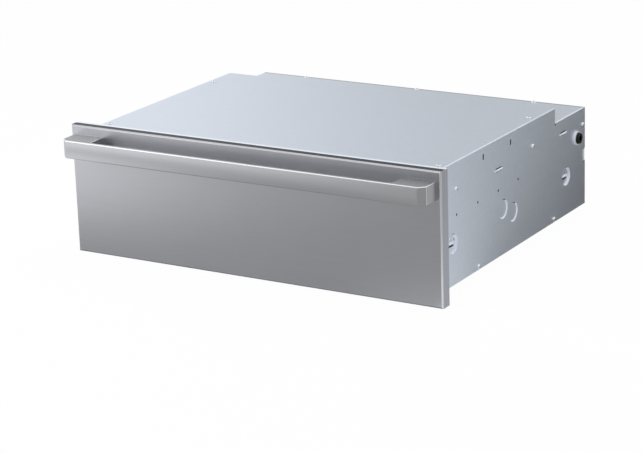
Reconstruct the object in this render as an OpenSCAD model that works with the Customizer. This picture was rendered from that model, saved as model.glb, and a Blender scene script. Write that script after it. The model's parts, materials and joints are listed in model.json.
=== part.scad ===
// Built in warming drawer: a sheet steel chassis that slides into a cabinet,
// and an insulated drawer on ball bearing slides behind a full width handle panel.
// X runs across the front, Y from the cabinet face to the rear, Z upwards.
// The origin is the middle of the front lower edge of the chassis.

/* [Chassis] */
// Width of the steel chassis
chassis_w = 711; // [680:1:740]
// Height of the chassis at the front
chassis_h = 217; // [214:1:235]
// Depth of the chassis behind the cabinet face
chassis_d = 600; // [590:1:640]
// Depth of the tall front section, up to the step in the top
tall_d = 468; // [440:1:500]
// Height lost at the step in the top
step_h = 28; // [18:1:30]
// Thickness of the chassis sheet
sheet = 1; // [0.8:0.1:1.4]
// Width of the folded edges that carry the covers
flange_w = 25; // [18:1:30]

/* [Front panel] */
// Width of the front panel
panel_w = 759; // [740:1:780]
// Height of the front panel
panel_h = 241; // [236:1:260]
// Thickness of the front panel
panel_t = 24; // [18:1:30]
// How far the panel hangs below the chassis
panel_drop = 13; // [8:1:16]
// Gap between the closed panel and the chassis
panel_gap = 0.8; // [0.6:0.1:2]
// Thickness of the panel's stainless sheet
panel_sheet = 1.2; // [0.8:0.1:1.5]
// Width of the bright bevel round the panel's face
panel_bevel = 2.5; // [1:0.5:4]

/* [Handle] */
// Length of the handle
handle_l = 742; // [600:1:745]
// Height of the handle
handle_h = 33; // [28:1:40]
// How far the handle stands out from the panel
handle_out = 47; // [36:1:50]
// Thickness of the handle's bar
handle_bar = 8; // [6:0.5:14]
// Width of each end post
handle_post = 63; // [40:1:75]
// Chamfer on the handle's outer corners
handle_chamfer = 12; // [6:1:15]
// Distance from the top of the panel down to the handle
handle_drop = 17; // [12:0.5:30]

/* [Drawer] */
// How far the drawer opens
travel = 500; // [440:1:510]
// Depth of the warming pan below its rim
pan_depth = 112; // [90:1:115]
// Corner radius of the warming pan
pan_corner = 30; // [20:1:40]
// Thickness of the drawer's sheet
drawer_sheet = 1; // [0.8:0.1:1.4]

/* [Slides] */
// Length of the ball bearing slides
slide_l = 550; // [545:1:558]
// Height of the slides
slide_h = 45; // [42:0.5:50]
// Radius of the slide balls
ball_r = 2; // [1.8:0.1:2.2]
// Balls in each row of a ball cage
ball_count = 7; // [4:1:9]

/* [Heating] */
// Radius of the heating element's tube
element_r = 3.25; // [3:0.25:4]
// Passes of the heating element across the floor
element_passes = 5; // [3:2:5]
// Distance between two passes
element_pitch = 70; // [56:1:72]

/* [Cable entry] */
// Radius of the cable gland's body
gland_r = 11; // [10:0.5:12]
// Radius of the cable passage in the gland's nose
gland_bore_r = 5; // [4:0.5:6]

/* [Hidden] */
$fn = 48;

// Every cut runs this far past the face that it starts from
over = 1;
// Gap left round parts that are pushed into each other and stay put
slip = 0.3;

// Finishes
galvanised = [0.74, 0.78, 0.82];
stainless = [0.62, 0.62, 0.63];
bright = [0.8, 0.8, 0.82];
black = [0.08, 0.08, 0.09];
white_wool = [0.9, 0.88, 0.82];
zinc = [0.7, 0.71, 0.74];

// Chassis planes
half_w = chassis_w / 2;
inner_x = half_w - sheet;
top_z = chassis_h;
low_top_z = chassis_h - step_h;
frame_y = 5;
frame_t = 1.2;
frame_flange = 12;
roof_space = 23;
roof_z = low_top_z - sheet - roof_space;
roof_flange = 15;
sill_z = 16;
frame_side = 11.5;
floor_flange = 14;
fold_start = 20;
bulkhead_back = 50;
bulkhead_y = chassis_d - bulkhead_back - sheet;
lining_y = frame_y + frame_flange + slip;
lid_tongue = 13;
tongue_inset = 16;
rear_flange = 14;
rear_flange_low = 20;
rear_flange_top = 8;

// Slide positions
recess_r = 18;
recess_depth = 4;
recess_draft = 3;
slide_x = half_w - sheet - recess_depth;
slide_z = 75;
slide_start = 10;
slide_sheet = 1.2;
race_clear = 0.3;
race_in = ball_r + race_clear;
race_out = race_in + slide_sheet;
race_shift_u = 5.3;
race_shift_v = 3.6;
slide_run = 0.4;
outer_u = race_out;
outer_v = slide_h / 2 - race_out;
inner_u = outer_u + race_shift_u;
inner_v = outer_v - race_shift_v;
slide_t = inner_u + race_out + slide_run;
race_low_angle = 255;
middle_race_angle = 345;
inner_race_angle = 340;
middle_web_u = 2.6;
cage_clear = 0.35;
cage_sheet = 0.6;
cage_reach_share = 0.4;
cage_margin = 5;
cage_start = slide_start + travel / 4 + cage_margin;
cage_l = slide_l - travel / 2 - 2 * cage_margin;
ball_edge = 20;
pocket_r = 0.85 * ball_r;
front_fix = 50;
rear_fix = 44;
fix_ys = [slide_start + front_fix, slide_start + slide_l - rear_fix];

// Screws
pan_head_r = 4.5;
pan_head_h = 2.6;
shank_r = 1.9;
shank_l = 8;
screw_slip = 0.1;
shank_hole_r = shank_r + screw_slip;
slide_head_r = 3.6;
slide_head_h = 1.6;
slide_shank_r = 2.4;

// Side panel pressings, as shares of the depth and height that they follow
roof_screw_y_shares = [0.156, 0.798];
roof_screw_rise = 4;
floor_screw_y_shares = [0.258, 0.77];
floor_screw_z = 6;
rear_screw_inset = 9.5;
rear_screw_drop = 32;
cover_screw_y_shares = [0.088, 0.83];
cover_screw_inset = 15;
lid_screw_x_share = 0.71;
slot_y_shares = [0.295, 0.473];
slot_z_share = 0.917;
slot_l = 11;
slot_w = 4.2;
bridge_y_shares = [0.393, 0.8375];
bridge_z_share = 0.7435;
bridge_l = 30;
bridge_w = 7;
bridge_strap = 4;
bridge_rise = 3.2;
bridge_eave_share = 0.4;
bridge_ramp = 6;
dimple_y_shares = [0.42, 0.487];
dimple_z_shares = [0.389, 0.313];
dimple_depth = 1.8;
dimple_draft = 2;
fixing_z_share = 0.568;
fixing_start = 75;
fixing_pitch = 79.3;
fixing_count = 4;
fixing_r = 2.25;
relief_r = 2;
relief_in = 1;
relief_drop = 2.8;
notch_z_share = 0.447;
notch_h = 24;
notch_in = 6;
notch_relief_r = 2;
hook_l = 20;
hook_low = -0.8;
hook_top = 2.6;
hook_slope = 2.4;
hook_ramp = 3;
hook_rise = 3;
hook_open = 5.5;
hook_hole_r = 1.6;
hook_hole_y = 11;
hook_hole_z = 4.4;
slide_screw_y = 6;
slide_screw_z = 8;

// Cable gland
gland_back = 37.5;
gland_z_share = 0.634;
gland_slip = 0.5;
gland_tail = 15;
gland_out = 8;
gland_nose = 4.2;
gland_nose_r = 9.6;
gland_throat = 8;
gland_wall = 3;
gland_nut_across = 26;
gland_nut_t = 5;
ring_r = 13.5;
ring_t = 3.4;
gland_y = chassis_d - gland_back;
gland_z = gland_z_share * chassis_h;

// Insulation, heater tray and controls behind the bulkhead
wool_t = 12;
side_wool_t = 10.5;
liner_low = 31;
liner_x = half_w - sheet - side_wool_t - sheet;
upper_wool_drop = 12;
upper_wool_inset = 10;
tray_side_share = 0.845;
tray_front = 85;
tray_back = 18;
tray_rim = 4;
element_lift = 8;
element_z = sheet + wool_t + sheet + element_lift;
element_side_share = 0.802;
element_front = 110;
element_end_bend = 30;
element_clear = 35;
element_tail = 20;
pin_r = 2;
pin_l = 10;
clip_wall = 1.2;
clip_slip = 0.05;
clip_l = 10;
clip_foot = 13;
clip_x_share = 0.34;
probe_r = 3;
probe_in = 14;
probe_x_share = 0.34;
probe_drop = 22;
probe_disc_r = 9;
probe_disc_t = 2.5;
limit_r = 9.5;
limit_t = 8;
tab_w = 6.3;
tab_t = 0.8;
tab_l = 7;
board_w = 140;
board_h = 80;
board_t = 1.6;
board_x_share = 0.62;
board_z = 40;
post_l = 22;
post_r = 3;
post_inset = 8;
relay_w = 19;
relay_h = 15.5;
relay_t = 15;
relay_count = 3;
choke_w = 34;
choke_h = 28;
block_w = 60;
block_d = 24;
block_h = 22;
block_x_share = 0.56;
block_back = 40;
block_poles = 5;
block_screw_r = 3.2;
block_well = 4;
vent_slots = 12;
vent_slot_l = 40;
vent_slot_w = 4;
vent_pitch = 9;
vent_z_share = 0.42;
bead_count = 4;
bead_l_share = 0.5;
bead_w = 12;
bead_depth = 0.5;

// Gasket round the opening
gasket_w = 4;
gasket_corner = 6;
gasket_low = 4;
gasket_high = 5;
gasket_proud = 0.5;

// Front panel planes
panel_back = -panel_gap;
panel_front = panel_back - panel_t;
panel_low = -panel_drop;
panel_top = panel_h - panel_drop;
wool_gap = 3.4;

// Handle
handle_face = panel_front - handle_out;
handle_top = panel_top - handle_drop;
handle_fillet = 9;
handle_bevel = 2;
handle_crown = 1;
handle_screw_r = 3;
handle_screw_in = 14;
handle_screw_head_r = 5.2;
handle_screw_head_h = 3;
handle_screw_gap = 9;
handle_screw_x = handle_l / 2 - handle_post / 2;

// Drawer body
drawer_x = slide_x - slide_t;
rim_drop = 15;
rim_z = roof_z - rim_drop;
side_top = rim_z - drawer_sheet;
pan_base = rim_z - pan_depth;
pan_under = 5;
drawer_low = pan_base - pan_under - drawer_sheet;
drawer_flange = 14;
front_depth = 44;
drawer_back_gap = 24;
drawer_end = bulkhead_y - drawer_back_gap;
pan_gap = 0.5;
pan_rim = 14;
pan_wall = 1;
pan_fillet = 14;
pan_side_gap = 1.8;
pan_end_gap = 2;
pan_w = 2 * (drawer_x - drawer_sheet - pan_side_gap);
pan_front = front_depth + pan_gap;
pan_d = drawer_end - pan_end_gap - pan_front;
pan_y = pan_front + pan_d / 2;

// Rack in the pan
rack_wire = 2.5;
rack_rod = 1.5;
rack_gap = 17;
rack_h = 20;
rack_corner = 25;
rack_pitch = 24;
rod_over = 1.5;
rack_w = pan_w - 2 * pan_rim - 2 * rack_gap;
rack_d = pan_d - 2 * pan_rim - 2 * rack_gap;
rack_z = pan_base + pan_wall + rack_h;
rack_legs = 3;

// Controls on the drawer's hidden top edge
fascia_t = 2;
fascia_gap = 0.3;
button_l = 26;
button_w = 12;
button_corner = 3;
button_gap = 0.4;
button_proud = 2;
button_flange = 1.5;
button_stem = 3;
button_travel = 1.5;
button_pitch = 42;
button_y = 18;
button_depth = 11;
housing_w = 200;
housing_d = 30;
housing_wall = 2;
housing_drop = 26;
housing_y = 6;
light_r = 1.8;
light_y = 31;
light_lip = 0.6;
light_body = 4;
vent_x_share = 0.66;
vent_w = 96;
vent_count = 5;
vent_open_w = 6;
vent_open_l = 18;
vent_open_pitch = 12;
slider_t = 1.7;
slider_w = 24;
slider_travel = 6;
slider_tab_l = 8;
slider_tab_w = 5;
slider_tab_h = 3.2;
slider_tab_x_share = 0.44;
guide_wall = 2;
guide_lip = 3;
guide_t = 1.5;

// A block between two corners
module block(low, high) {
    translate(low) cube(high - low);
}

// An outline in Y and Z, extruded along X
module along_x(x0, x1) {
    translate([x0, 0, 0]) rotate([90, 0, 90]) linear_extrude(x1 - x0) children();
}

// An outline in X and Z, extruded along Y
module along_y(y0, y1) {
    translate([0, y1, 0]) rotate([90, 0, 0]) linear_extrude(y1 - y0) children();
}

// A round bar along X, Y or Z
module bar_x(r, x0, x1, y, z) {
    translate([x0, y, z]) rotate([0, 90, 0]) cylinder(r = r, h = x1 - x0);
}
module bar_y(r, y0, y1, x, z) {
    translate([x, y1, z]) rotate([90, 0, 0]) cylinder(r = r, h = y1 - y0);
}
module bar_z(r, z0, z1, x, y) {
    translate([x, y, z0]) cylinder(r = r, h = z1 - z0);
}

// The same piece on the right, or mirrored to the left
module on_left() {
    mirror([1, 0, 0]) children();
}
module on_both() {
    children();
    mirror([1, 0, 0]) children();
}

// A rectangle with round corners, centred
module round_rect(w, d, r) {
    square([w - 2 * r, d], center = true);
    square([w, d - 2 * r], center = true);
    for (x = [-1, 1], y = [-1, 1]) translate([x * (w / 2 - r), y * (d / 2 - r)]) circle(r);
}

// A slot with round ends along its first axis, centred
module slot_outline(l, w) {
    square([l - w, w], center = true);
    for (s = [-1, 1]) translate([s * (l - w) / 2, 0]) circle(w / 2);
}

// A profile carried round a rectangle with round corners. Its first axis points outwards from the
// centre of the corner's curve.
module round_the_rim(w, d, r) {
    for (q = [0:3]) {
        run = q % 2 == 0 ? d - 2 * r : w - 2 * r;
        cx = (q == 0 || q == 3 ? 1 : -1) * (w / 2 - r);
        cy = (q < 2 ? 1 : -1) * (d / 2 - r);
        translate([cx, cy, 0]) rotate([0, 0, 90 * q]) {
            rotate_extrude(angle = 90) children();
            rotate([90, 0, 0]) linear_extrude(run) children();
        }
    }
}

// A pan head screw along X with its head outwards
module pan_head(head_r, head_h, r, l) {
    rotate([0, 90, 0]) {
        translate([0, 0, -l]) cylinder(r = r, h = l);
        intersection() {
            cylinder(r = head_r, h = head_h);
            translate([0, 0, head_h - 2 * head_r]) sphere(2 * head_r);
        }
    }
}

// Places of the screws through the side panel: [y, z]
side_screw_places = concat(
    [for (s = roof_screw_y_shares) [s * tall_d, roof_z + roof_screw_rise]],
    [for (s = floor_screw_y_shares) [s * chassis_d, floor_screw_z]],
    [[chassis_d - sheet - rear_screw_inset, low_top_z - rear_screw_drop]]
);
// Places of the screws through the top cover: [x, y]
cover_screw_places = [
    for (s = cover_screw_y_shares, x = [-1, 1]) [x * (half_w - cover_screw_inset), s * tall_d]
];
// Places of the screws through the rear lid: x
lid_screw_xs = [for (s = [-1, 0, 1]) s * lid_screw_x_share * half_w];
lid_screw_y = chassis_d - sheet - rear_flange / 2;

// A round recess pressed into the side sheet, seen from outside
module recess_skin(r, depth, draft) {
    along_cone(r - draft + sheet, r + sheet, half_w - sheet - depth, half_w - sheet);
}
module recess_cut(r, depth, draft) {
    along_cone(r - draft, r, half_w - depth, half_w);
    bar_x(r, half_w, half_w + over, 0, 0);
}
module along_cone(r0, r1, x0, x1) {
    translate([x0, 0, 0]) rotate([0, 90, 0]) cylinder(r1 = r0, r2 = r1, h = x1 - x0);
}

// The openings through a slide recess: one under the hook, a round hole and a screw's hole
module hook_openings(x0, x1) {
    y = hook_l / 2 - hook_ramp / 2;
    block([x0, -y, hook_low - hook_open], [x1, y, hook_top - hook_slope / 2]);
    bar_x(hook_hole_r, x0, x1, hook_hole_y, hook_hole_z);
    bar_x(slide_shank_r + screw_slip, x0, x1, -slide_screw_y, slide_screw_z);
}

// The side sheet with its folded upper edges and pressings, on the right
module side_panel(with_gland) {
    difference() {
        union() {
            along_x(inner_x, half_w) polygon([
                [0, 0], [chassis_d, 0], [chassis_d, low_top_z - sheet], [tall_d, low_top_z - sheet],
                [tall_d, top_z - sheet], [0, top_z - sheet]
            ]);
            block([half_w - flange_w, 0, top_z - 2 * sheet], [inner_x, tall_d - sheet, top_z - sheet]);
            block([half_w - flange_w, tall_d, low_top_z - 2 * sheet],
                  [inner_x, chassis_d - sheet, low_top_z - sheet]);
            for (y = fix_ys) translate([0, y, slide_z]) recess_skin(recess_r, recess_depth, recess_draft);
            for (i = [0, 1]) translate([0, dimple_y_shares[i] * chassis_d, dimple_z_shares[i] * chassis_h])
                recess_skin(recess_r, dimple_depth, dimple_draft);
        }
        for (y = fix_ys) translate([0, y, slide_z]) {
            recess_cut(recess_r, recess_depth, recess_draft);
            hook_openings(slide_x - over, half_w);
        }
        for (i = [0, 1]) translate([0, dimple_y_shares[i] * chassis_d, dimple_z_shares[i] * chassis_h])
            recess_cut(recess_r, dimple_depth, dimple_draft);
        for (p = side_screw_places) bar_x(shank_hole_r, inner_x - over, half_w + over, p[0], p[1]);
        for (p = cover_screw_places) bar_z(shank_hole_r, top_z - 3 * sheet, top_z, abs(p[0]), p[1]);
        for (i = [0:fixing_count - 1])
            bar_x(fixing_r, inner_x - over, half_w + over, fixing_start + i * fixing_pitch,
                  fixing_z_share * chassis_h);
        for (s = slot_y_shares) translate([0, s * chassis_d, slot_z_share * chassis_h])
            along_x(inner_x - over, half_w + over) rotate(90) slot_outline(slot_l, slot_w);
        for (s = bridge_y_shares) translate([0, s * chassis_d, bridge_z_share * chassis_h])
            along_x(inner_x - over, half_w + over) slot_outline(bridge_l - bridge_ramp, bridge_w);
        bar_x(relief_r, inner_x - over, half_w + over, tall_d + relief_in, low_top_z - relief_drop);
        translate([0, 0, notch_z_share * chassis_h]) {
            block([inner_x - over, chassis_d - notch_in, -notch_h / 2],
                  [half_w + over, chassis_d + over, notch_h / 2]);
            for (s = [-1, 1])
                bar_x(notch_relief_r, inner_x - over, half_w + over, chassis_d - notch_in, s * notch_h / 2);
        }
        if (with_gland) bar_x(gland_r + gland_slip, inner_x - over, half_w + over, gland_y, gland_z);
    }
    for (s = bridge_y_shares) translate([0, s * chassis_d, bridge_z_share * chassis_h])
        bridge();
    for (y = fix_ys) translate([0, y, slide_z]) hook();
}

// A form lanced out of a sheet and one sheet thick: its ends rise by the ramp, and its section,
// drawn from the sheet's outer face, is the child
module lanced(face, length, rise, ramp) {
    difference() {
        lanced_body(face, length / 2, rise, ramp) children();
        translate([-sheet, 0, 0]) lanced_body(face, length / 2, rise, ramp) children();
    }
}

module lanced_body(face, l, rise, ramp) {
    intersection() {
        translate([0, 0, -recess_r]) linear_extrude(2 * recess_r) polygon([
            [face - sheet, -l], [face, -l], [face + rise, -l + ramp],
            [face + rise, l - ramp], [face, l], [face - sheet, l]
        ]);
        along_y(-l, l) translate([face, 0]) children();
    }
}

// A bridge: a strap over an opening, its section like a roof
module bridge() {
    z = bridge_strap / 2;
    eave = bridge_eave_share * bridge_rise;
    lanced(half_w, bridge_l, bridge_rise, bridge_ramp)
        polygon([[-sheet, -z], [eave, -z], [bridge_rise, 0], [eave, z], [-sheet, z]]);
}

// The hook in a slide recess: a hood, closed above and open below
module hook() {
    lanced(half_w - recess_depth, hook_l, hook_rise, hook_ramp) polygon([
        [-sheet, hook_low], [hook_rise, hook_low], [hook_rise, hook_top - hook_slope],
        [0, hook_top], [-sheet, hook_top]
    ]);
}

module side_panel_left() {
    color(galvanised) on_left() side_panel(false);
}

module side_panel_right() {
    color(galvanised) side_panel(true);
}

// The top cover, with its rear edge folded down over the step
module top_cover() {
    color(galvanised) difference() {
        union() {
            block([-half_w, 0, top_z - sheet], [half_w, tall_d, top_z]);
            block([-inner_x, tall_d - sheet, low_top_z], [inner_x, tall_d, top_z]);
        }
        for (p = cover_screw_places) bar_z(shank_hole_r, top_z - sheet - over, top_z + over, p[0], p[1]);
    }
}

// The lid over the low rear section, with a tongue under the top cover's fold
module rear_lid() {
    color(galvanised) difference() {
        union() {
            block([-half_w, tall_d, low_top_z - sheet], [half_w, chassis_d, low_top_z]);
            block([-half_w + tongue_inset, tall_d - lid_tongue, low_top_z - sheet],
                  [half_w - tongue_inset, tall_d, low_top_z]);
        }
        for (x = lid_screw_xs)
            bar_z(shank_hole_r, low_top_z - sheet - over, low_top_z + over, x, lid_screw_y);
    }
}

// The floor, with side edges folded up and stiffening beads pressed in
module base_pan() {
    color(galvanised) difference() {
        union() {
            block([-inner_x, 0, 0], [inner_x, chassis_d, sheet]);
            on_both() block([inner_x - sheet, fold_start, sheet],
                            [inner_x, bulkhead_y, sheet + floor_flange]);
        }
        for (p = side_screw_places) if (p[1] == floor_screw_z)
            on_both() bar_x(shank_hole_r, inner_x - sheet - over, inner_x + over, p[0], p[1]);
        for (i = [1:bead_count]) translate([0, chassis_d * i / (bead_count + 1), -over])
            linear_extrude(over + bead_depth) slot_outline(bead_l_share * chassis_w, bead_w);
    }
}

// The rear wall, folded forwards at the sides and the top, with cooling slots
module rear_panel() {
    back = chassis_d - sheet;
    color(galvanised) difference() {
        union() {
            block([-inner_x, back, sheet], [inner_x, chassis_d, low_top_z - sheet]);
            on_both() block([inner_x - sheet, back - rear_flange, rear_flange_low],
                            [inner_x, back, low_top_z - sheet - rear_flange_top]);
            block([-half_w + flange_w + sheet, back - rear_flange, low_top_z - 2 * sheet],
                  [half_w - flange_w - sheet, back, low_top_z - sheet]);
        }
        for (p = side_screw_places) if (p[0] > back - rear_flange)
            on_both() bar_x(shank_hole_r, inner_x - sheet - over, inner_x + over, p[0], p[1]);
        for (x = lid_screw_xs)
            bar_z(shank_hole_r, low_top_z - 2 * sheet - over, low_top_z, x, lid_screw_y);
        for (i = [0:vent_slots - 1])
            translate([(i - (vent_slots - 1) / 2) * vent_pitch, 0, vent_z_share * chassis_h])
                along_y(back - over, chassis_d + over) rotate(90) slot_outline(vent_slot_l, vent_slot_w);
    }
}

// Where the heating element's two ends and the probe pass through the bulkhead
element_end_x = element_side_share * half_w;
probe_x = -probe_x_share * half_w;
probe_z = roof_z - probe_drop;

// The wall behind the cavity, narrow below so that the slides pass it
module bulkhead() {
    low_x = drawer_x - drawer_flange / 4;
    shelf_z = slide_z + slide_h / 2 + slip;
    color(galvanised) difference() {
        along_y(bulkhead_y, bulkhead_y + sheet) union() {
            translate([-low_x, sheet]) square([2 * low_x, roof_z - sheet]);
            translate([-inner_x + 2 * sheet, shelf_z])
                square([2 * (inner_x - 2 * sheet), roof_z - shelf_z]);
        }
        for (x = [-element_end_x, element_end_x])
            bar_y(element_r + slip, bulkhead_y - over, bulkhead_y + sheet + over, x, element_z);
        bar_y(probe_r + slip, bulkhead_y - over, bulkhead_y + sheet + over, probe_x, probe_z);
    }
}

// The frame round the opening, notched where the slides run through it
module front_frame() {
    edge_x = inner_x - screw_slip;
    notch_x = slide_x - slide_sheet + slip;
    notch_h = slide_h / 2 + 2.5 * slide_sheet;
    color(stainless) union() {
        along_y(frame_y, frame_y + frame_t) difference() {
            translate([-edge_x, sheet]) square([2 * edge_x, top_z - 3 * sheet]);
            translate([-edge_x + frame_side, sill_z]) square([2 * (edge_x - frame_side), roof_z - sill_z]);
            translate([-notch_x, slide_z - notch_h]) square([2 * notch_x, 2 * notch_h]);
        }
        block([-half_w + flange_w + sheet, frame_y, top_z - 2 * sheet - frame_t],
              [half_w - flange_w - sheet, frame_y + frame_flange, top_z - 2 * sheet]);
        on_both() block([edge_x - frame_t, frame_y, floor_flange + 2 * sheet],
                        [edge_x, frame_y + frame_flange, top_z - 3 * sheet - frame_t]);
    }
}

// The roof of the warm cavity, with side edges folded up
module cavity_roof() {
    color(galvanised) difference() {
        union() {
            block([-inner_x + 2 * sheet, frame_y + frame_t, roof_z],
                  [inner_x - 2 * sheet, fold_start, roof_z + sheet]);
            block([-inner_x + sheet, fold_start, roof_z],
                  [inner_x - sheet, bulkhead_y + sheet, roof_z + sheet]);
            on_both() block([inner_x - sheet, fold_start, roof_z],
                            [inner_x, bulkhead_y + sheet, roof_z + roof_flange]);
        }
        for (p = side_screw_places) if (p[1] == roof_z + roof_screw_rise)
            on_both() bar_x(shank_hole_r, inner_x - sheet - over, inner_x + over, p[0], p[1]);
    }
}

// The wall that covers the side insulation above the slides
module side_liner() {
    low = slide_z + liner_low;
    color(galvanised) along_y(lining_y, bulkhead_y - slip) polygon([
        [inner_x, low], [inner_x, low + sheet], [liner_x + sheet, low + sheet],
        [liner_x + sheet, roof_z - sheet], [inner_x - sheet, roof_z - sheet], [inner_x - sheet, roof_z],
        [liner_x, roof_z], [liner_x, low]
    ]);
}

module side_liner_left() {
    on_left() side_liner();
}

module side_liner_right() {
    side_liner();
}

// Mineral wool above the roof, and behind each side liner
module insulation_batts() {
    low = slide_z + liner_low + sheet;
    color(white_wool) {
        block([-half_w + upper_wool_inset, lining_y, roof_z + sheet],
              [half_w - upper_wool_inset, tall_d - lid_tongue - slip, top_z - upper_wool_drop]);
        block([-half_w + upper_wool_inset, tall_d - lid_tongue + slip, roof_z + sheet],
              [half_w - upper_wool_inset, bulkhead_y, low_top_z - upper_wool_drop]);
        on_both() block([liner_x + sheet, lining_y, low],
                        [inner_x, bulkhead_y - sheet, roof_z - sheet]);
    }
}

// Mineral wool board under the heater
module insulation_base() {
    color(white_wool) block([-drawer_x, fold_start, sheet], [drawer_x, bulkhead_y - sheet, sheet + wool_t]);
}

tray_x = tray_side_share * half_w;
tray_z = sheet + wool_t;

// The reflecting tray under the heating element, with its edge turned up
module element_tray() {
    color(bright) {
        block([-tray_x, tray_front, tray_z], [tray_x, bulkhead_y - tray_back, tray_z + sheet]);
        on_both() block([tray_x - sheet, tray_front, tray_z],
                        [tray_x, bulkhead_y - tray_back, tray_z + tray_rim]);
        block([-tray_x, tray_front, tray_z], [tray_x, tray_front + sheet, tray_z + tray_rim]);
    }
}

// Heating element: the rows run across, with half turns between them and both ends to the rear
turn_r = element_pitch / 2;
run_x = element_end_x - element_clear - turn_r;
end_centre_x = element_end_x - element_end_bend;
element_last_y = element_front + (element_passes - 1) * element_pitch;
element_rear = bulkhead_y + element_tail;

module bend(x, y, r, start, sweep) {
    translate([x, y, element_z]) rotate([0, 0, start])
        rotate_extrude(angle = sweep) translate([r, 0]) circle(element_r);
}

module heating_element() {
    color([0.32, 0.32, 0.34]) {
        for (i = [0:element_passes - 1]) {
            y = element_front + i * element_pitch;
            x0 = i == 0 ? -end_centre_x : -run_x;
            x1 = i == element_passes - 1 ? end_centre_x : run_x;
            bar_x(element_r, x0, x1, y, element_z);
            if (i < element_passes - 1)
                bend((i % 2 == 0 ? 1 : -1) * run_x, y + turn_r, turn_r, i % 2 == 0 ? -90 : 90, 180);
        }
        bend(-end_centre_x, element_front + element_end_bend, element_end_bend, 180, 90);
        bend(end_centre_x, element_last_y + element_end_bend, element_end_bend, -90, 90);
        bar_y(element_r, element_front + element_end_bend, element_rear, -element_end_x, element_z);
        bar_y(element_r, element_last_y + element_end_bend, element_rear, element_end_x, element_z);
        for (x = [-element_end_x, element_end_x])
            bar_y(pin_r, element_rear, element_rear + pin_l, x, element_z);
    }
}

// Clips that hold the element on its tray
module element_clips() {
    color(zinc) for (i = [0:2:element_passes - 1], s = [-1, 1])
        translate([s * clip_x_share * half_w, element_front + i * element_pitch, 0]) difference() {
            union() {
                bar_x(element_r + clip_slip + clip_wall, -clip_l / 2, clip_l / 2, 0, element_z);
                block([-clip_l / 2, -clip_foot / 2, tray_z + sheet],
                      [clip_l / 2, clip_foot / 2, tray_z + sheet + clip_wall]);
                block([-clip_l / 2, -element_r, tray_z + sheet], [clip_l / 2, element_r, element_z]);
            }
            bar_x(element_r + clip_slip, -clip_l, clip_l, 0, element_z);
        }
}

// Temperature probe through the bulkhead
module temperature_probe() {
    back = bulkhead_y + sheet;
    color(bright) {
        bar_y(probe_r, bulkhead_y - probe_in, back, probe_x, probe_z);
        translate([probe_x, bulkhead_y - probe_in, probe_z]) sphere(probe_r);
        bar_y(probe_disc_r, back, back + probe_disc_t, probe_x, probe_z);
    }
}

// Safety thermostat clamped to the back of the bulkhead
module limit_thermostat() {
    back = bulkhead_y + sheet;
    color(black) {
        bar_y(limit_r, back, back + limit_t, -probe_x, probe_z);
        for (s = [-1, 1]) translate([-probe_x + s * limit_r / 2, 0, probe_z])
            block([-tab_t / 2, back + limit_t, -tab_w / 2], [tab_t / 2, back + limit_t + tab_l, tab_w / 2]);
    }
}

// Power board on four posts behind the bulkhead
module control_board() {
    x0 = -board_x_share * half_w;
    y0 = bulkhead_y + sheet + post_l;
    z0 = board_z;
    color([0.1, 0.35, 0.2]) {
        block([x0, y0, z0], [x0 + board_w, y0 + board_t, z0 + board_h]);
        for (x = [post_inset, board_w - post_inset], z = [post_inset, board_h - post_inset])
            bar_y(post_r, y0 - post_l, y0, x0 + x, z0 + z);
        for (i = [0:relay_count - 1])
            block([x0 + post_inset + i * (relay_w + post_r), y0 + board_t, z0 + 2 * post_inset],
                  [x0 + post_inset + i * (relay_w + post_r) + relay_w, y0 + board_t + relay_t,
                   z0 + 2 * post_inset + relay_h]);
        block([x0 + board_w - post_inset - choke_w, y0 + board_t, z0 + board_h - 2 * post_inset - choke_h],
              [x0 + board_w - post_inset, y0 + board_t + relay_t, z0 + board_h - 2 * post_inset]);
    }
}

// Mains terminal block on the floor behind the bulkhead
module terminal_block() {
    x0 = block_x_share * half_w;
    y0 = chassis_d - block_back;
    pitch = block_w / block_poles;
    color(white_wool) difference() {
        block([x0, y0, sheet], [x0 + block_w, y0 + block_d, sheet + block_h]);
        for (i = [0:block_poles - 1], y = [block_d / 4, 3 * block_d / 4])
            bar_z(block_screw_r, sheet + block_h - block_well, sheet + block_h + over,
                  x0 + (i + 0.5) * pitch, y0 + y);
    }
}

// Nylon cable gland through the right side panel, with its lock nut inside
module cable_gland() {
    nut_r = gland_nut_across / 2;
    tip = half_w + gland_out;
    color(black) translate([0, gland_y, gland_z]) difference() {
        union() {
            bar_x(gland_r, inner_x - gland_tail, tip - gland_nose, 0, 0);
            along_cone(gland_r, gland_nose_r, tip - gland_nose, tip);
            translate([inner_x - gland_nut_t, 0, 0]) rotate([0, 90, 0])
                cylinder(r = nut_r, h = gland_nut_t, $fn = 6);
        }
        bar_x(gland_r - gland_wall, inner_x - gland_tail - over, tip - gland_throat, 0, 0);
        bar_x(gland_bore_r, tip - gland_throat - over, tip + over, 0, 0);
    }
}

// Plated ring under the gland's shoulder
module gland_ring() {
    color(bright) translate([0, gland_y, gland_z]) difference() {
        bar_x(ring_r, half_w, half_w + ring_t, 0, 0);
        bar_x(gland_r + screw_slip, half_w - over, half_w + ring_t + over, 0, 0);
    }
}

// Silicone seal on the front frame, which the closed panel just clears
module door_gasket() {
    w = 2 * (inner_x - screw_slip - slip);
    h = top_z - 2 * sheet - gasket_high - gasket_low + sheet;
    depth = frame_y + gasket_proud;
    color([0.25, 0.25, 0.26]) translate([0, frame_y, gasket_low + h / 2]) rotate([90, 0, 0])
        round_the_rim(w, h, gasket_corner) difference() {
            translate([gasket_corner - gasket_w, 0]) square([gasket_w, depth]);
            translate([gasket_corner - gasket_w / 2, 0.45 * depth]) circle(gasket_w / 4);
        }
}

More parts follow.
